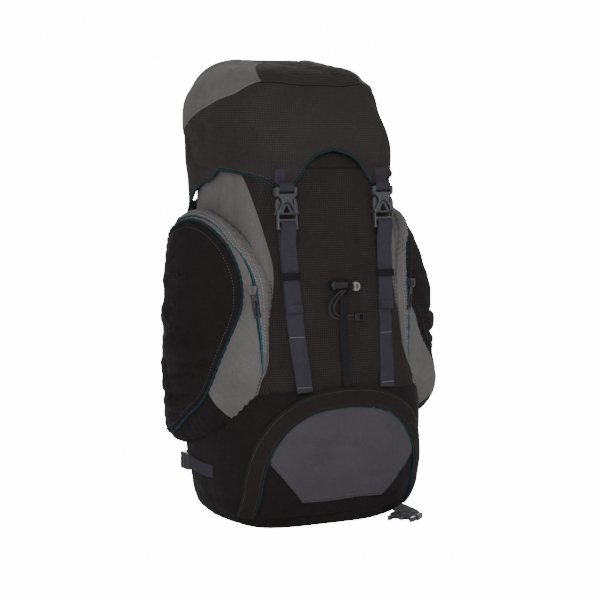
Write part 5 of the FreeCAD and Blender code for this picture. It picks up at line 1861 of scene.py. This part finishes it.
def makeHarnessWebbing():
    low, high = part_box("shoulder_webbing")
    lockLow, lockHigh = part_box("shoulder_ladder_locks")
    for sign in (-1, 1):
        side = sideOf(sign)
        x = 0.066 * sign
        # lower end of a strap: ladder lock, then webbing to the foot of the back panel
        line = curveThrough([(x, 0.1465, 0.215), (x, 0.1445, 0.196), (x, 0.139, 0.184),
                (x, 0.118, 0.172), (x, 0.1035, 0.168)], 60)
        piece = ribbon(f"{side}_adjuster_webbing", line, turned(line), 0.020, harnessWeb,
                darkWebbing)
        settle(piece, "root", *rightOnly(sign, "shoulder_webbing"), slot="webbing")
        # load lifter from the shoulder to the top of the back panel
        line = curveThrough([(x, bagRear + 0.040, 0.4665), (x, bagRear + 0.022, 0.478),
                (x, bagRear + 0.0035, 0.485)], 30)
        settle(ribbon(f"{side}_load_lifter", line, turned(line), 0.019, harnessWeb, darkWebbing),
                "root", slot="webbing")
        place = facing((x, (lockLow.y + lockHigh.y) / 2, (lockLow.z + lockHigh.z) / 2), (0, 1, 0),
                (0, 0, 1))
        shape = [(-0.0135, -0.0135), (0.0135, -0.0135), (0.0145, 0.0135), (-0.0145, 0.0135)]
        slots = [oblong(-0.0105, y, 0.0105, y + 0.0042) for y in (-0.0095, -0.0015, 0.0065)]
        piece = moulded(f"{side}_ladder_lock", [rounded(s, 0.0016) for s in [shape] + slots],
                0.0045, 0.001, blackPlastic, place)
        settle(piece, "root", *rightOnly(sign, "shoulder_ladder_locks"), slot="black_plastic")
    # sternum strap and its buckle
    low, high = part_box("sternum_strap")
    y = (low.y + high.y) / 2
    z = (low.z + high.z) / 2
    strapThrough("sternum_webbing_left",
            [(low.x, y - 0.002, z), (-0.045, y + 0.0005, z), (high.x - 0.001, y, z)], (0, 1, 0),
                 sternumWide, harnessWeb, "root", "sternum_strap")
    low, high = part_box("sternum_webbing")
    strapThrough("sternum_webbing_right",
            [(low.x + 0.0005, y, z), (0.045, y + 0.0005, z), (high.x, y - 0.002, z)], (0, 1, 0),
                 sternumWide, harnessWeb, "sternum_plug", "sternum_webbing")
    low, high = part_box("sternum_socket")
    place = facing((low + high) / 2, (0, 1, 0), (0, 0, 1))
    w, h = (high.x - low.x) / 2, (high.z - low.z) / 2
    body = moulded("sternum_socket_moulding",
            [rounded([(-w, -h), (w, -h * 0.9), (w, h * 0.9), (-w, h)], 0.003),
                                               rounded(oblong(-w * 0.2, -h * 0.55, w * 0.75,
                h * 0.55), 0.002)],
                   0.0086, 0.0018, blackPlastic, place)
    settle(body, "root", "sternum_socket", slot="black_plastic")
    low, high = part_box("sternum_plug")
    place = facing((0.012, (low.y + high.y) / 2, (low.z + high.z) / 2), (0, 1, 0), (0, 0, 1))
    head = moulded("sternum_plug_moulding",
            [rounded(oblong(-0.0092, -0.0118, 0.0095, 0.0118), 0.002),
                                             rounded(oblong(-0.005, -0.0095, 0.001, 0.0095),
                0.001)],
                   0.0062, 0.0014, blackPlastic, place)
    arms = [moulded("arm",
            [rounded(oblong(0.0155, s * 0.0055 - 0.0022, 0.024, s * 0.0055 + 0.0022), 0.0012)],
            0.0026, 0.0007, blackPlastic, place) for s in (-1, 1)]
    settle(joinPieces("sternum_plug_moulding", [head] + arms), "sternum_plug", "sternum_plug",
            slot="black_plastic")
    # hip belt: webbing and socket on the left wing
    low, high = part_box("left_hip_webbing")
    z = (low.z + high.z) / 2
    y = (low.y + high.y) / 2
    strapThrough("hip_webbing_left",
            [(low.x, y - 0.009, z), (-0.075, y - 0.002, z), (-0.062, y, z), (high.x, y, z)],
            (0, 1, 0), 0.036, 0.0018,
                 "left_hip_wing", "left_hip_webbing")
    low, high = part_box("hip_buckle_socket")
    place = facing((low + high) / 2, (0, 1, 0), (0, 0, 1))
    w, h = (high.x - low.x) / 2, (high.z - low.z) / 2
    shape = [(-w, -h * 0.86), (-w * 0.4, -h), (w * 0.4, -h * 0.92), (w, -h), (w, h),
            (w * 0.4, h * 0.92), (-w * 0.4, h), (-w, h * 0.86)]
    slot = [(-w * 0.25, -h * 0.5), (w * 0.7, -h * 0.62), (w * 0.7, h * 0.62), (-w * 0.25, h * 0.5)]
    settle(moulded("hip_socket_moulding", [rounded(shape, 0.004), rounded(slot, 0.003)], 0.0116,
            0.0024, blackPlastic, place),
           "left_hip_wing", "hip_buckle_socket", slot="black_plastic")


def makeHaulLoop():
    low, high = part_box("haul_loop")
    z = (low.z + high.z) / 2
    line = curveThrough([(low.x + 0.003, bagRear + 0.002, z),
            (low.x + 0.002, bagRear + 0.018, z + 0.001), (-0.017, bagRear + 0.031, z + 0.002),
                         (0, bagRear + 0.0345, z + 0.002), (0.017, bagRear + 0.031, z + 0.002),
                (high.x - 0.002, bagRear + 0.018, z + 0.001),
                         (high.x - 0.003, bagRear + 0.002, z)], 80)
    ahead = unit(np.gradient(line, axis=0))
    outward = np.cross(ahead, (0, 0, 1.0))
    settle(ribbon("haul_webbing", line, outward, 0.020, 0.0022, webbingCloth), "root",
            "haul_loop", slot="webbing")
    low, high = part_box("lid_hinge_strap")
    z = np.linspace(low.z, high.z, 12)
    line = np.stack([np.zeros(12),
            np.full(12, (low.y + high.y) / 2 - 0.001) + 0.001 * np.sin(z * 300), z], 1)
    settle(ribbon("hinge_webbing", line, (0, 1, 0), high.x - low.x, 0.0022, darkWebbing), "root",
            "lid_hinge_strap", slot="main_fabric")


def makeCompression():
    low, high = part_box("compression_straps")
    z = (low.z + high.z) / 2
    buckleLow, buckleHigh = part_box("compression_buckles")
    for sign in (-1, 1):
        side = sideOf(sign)
        points = []
        for y in np.linspace(low.y, high.y, 14):
            p = bagAt(np.linspace(0, math.pi, 400), z)
            half = np.interp(y, p[:, 1], p[:, 0])
            points.append((sign * (half + 0.0032), y, z + 0.002 * math.sin(y * 40)))
        line = curveThrough(points, 70)
        settle(ribbon(f"{side}_compression_webbing", line, (sign, 0, 0), 0.0195, 0.0014,
                webbingCloth), "root",
               *rightOnly(sign, "compression_straps"), slot="webbing")
        y = (buckleLow.y + buckleHigh.y) / 2
        half = np.interp(y, p[:, 1], p[:, 0])
        place = facing((sign * (half + 0.0062), y, z), (sign, 0, 0), (0, 0, 1))
        shape = oblong(-0.013, -0.0128, 0.013, 0.0128)
        slots = [oblong(x, -0.0102, x + 0.0048, 0.0102) for x in (-0.0095, -0.0015, 0.0055)]
        settle(moulded(f"{side}_compression_slider",
                [rounded(s, 0.0016) for s in [shape] + slots], 0.005, 0.0011, greyPlastic, place),
               "root", *rightOnly(sign, "compression_buckles"), slot="black_plastic")


def makeTag():
    low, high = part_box("loop_label")
    # a folded woven loop standing out from the pocket's seam
    z = (low.z + high.z) / 2
    x, y = (low.x + high.x) / 2, (low.y + high.y) / 2
    out = unit(np.array([0.62, -0.78, 0.0]))
    foot = np.array([x, y, z]) - out * 0.008
    line = np.array([foot + out * f * 0.020 + np.array([0.78, 0.62, 0]) * s for f, s in
                     ((0, 0.0012), (0.5, 0.0014), (0.9, 0.0010), (1.0, 0.0), (0.9, -0.0010),
                (0.5, -0.0014), (0, -0.0012))])
    line = curveThrough(line, 50)
    ahead = unit(np.gradient(line, axis=0))
    settle(ribbon("pocket_tag", line, np.cross(ahead, (0, 0, 1.0)), high.z - low.z, 0.0007,
            blueTag), "root", "loop_label",
           slot="label")


def makeFloorWebbing():
    # the belt's loose right end runs along the floor and turns back through its buckle
    low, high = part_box("right_hip_webbing")
    w, t = 0.036, 0.0017
    flat = 0.0012
    x = high.x - 0.019
    points = [(0.084, 0.139, flat), (0.098, 0.116, flat), (x - 0.010, 0.095, flat),
            (x - 0.001, 0.05, flat + 0.001),
              (x, 0.0, flat + 0.003), (x, -0.05, flat + 0.001), (x - 0.004, -0.085, flat),
              (x - 0.013, -0.107, flat + 0.0005),
              (x - 0.024, -0.120, flat + 0.002)]
    line = curveThrough(points, 120)
    settle(ribbon("hip_webbing_right", line, (0, 0, 1), w, t, webbingCloth), "root",
            "right_hip_webbing", slot="webbing")
    low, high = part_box("hip_buckle_plug")
    turn = math.radians(-52)
    centre = middleOf(low, high)
    place = facing(centre, (0, 0, 1), (-math.sin(turn), math.cos(turn), 0))
    frameShape = [(-0.023, -0.001), (0.023, -0.001), (0.022, 0.022), (-0.022, 0.022)]
    holes = [oblong(-0.0185, 0.0035, 0.0185, 0.0085),
             [(-0.0185, 0.0125), (0.0185, 0.0125), (0.018, 0.0178), (-0.018, 0.0178)]]
    shift = Matrix.Translation((0, 0.0005, 0))
    parts = [moulded("plug", [rounded(s, 0.002) for s in [frameShape] + holes], 0.0092, 0.002,
            greyPlastic, place @ shift)]
    for s in (-1, 1):
        arm = [(s * 0.0195, -0.001), (s * 0.0215, -0.012), (s * 0.0195, -0.0215),
                (s * 0.0145, -0.0225), (s * 0.0135, -0.012), (s * 0.0145, -0.001)]
        parts.append(moulded("plug", [rounded(arm if s > 0 else arm[::-1], 0.0022)], 0.0066,
                0.0016, greyPlastic, place @ shift))
    parts.append(moulded("plug",
            [rounded([(-0.003, -0.016), (0.003, -0.016), (0.004, -0.001), (-0.004, -0.001)],
            0.0015)], 0.005, 0.0012,
                         greyPlastic, place @ shift))
    settle(joinPieces("hip_plug_moulding", parts), "root", "hip_buckle_plug", slot="black_plastic")


makeHarnessWebbing()
makeHaulLoop()
makeCompression()
makeTag()
makeFloorWebbing()
print("harness webbing threaded")


# CAD nodes that keep their own shape get a finish
cadFinish = {"frame_sheet": sheetPlastic, "frame_stays": alloy}
for node, material in cadFinish.items():
    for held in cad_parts[node].material_slots:
        held.material = material
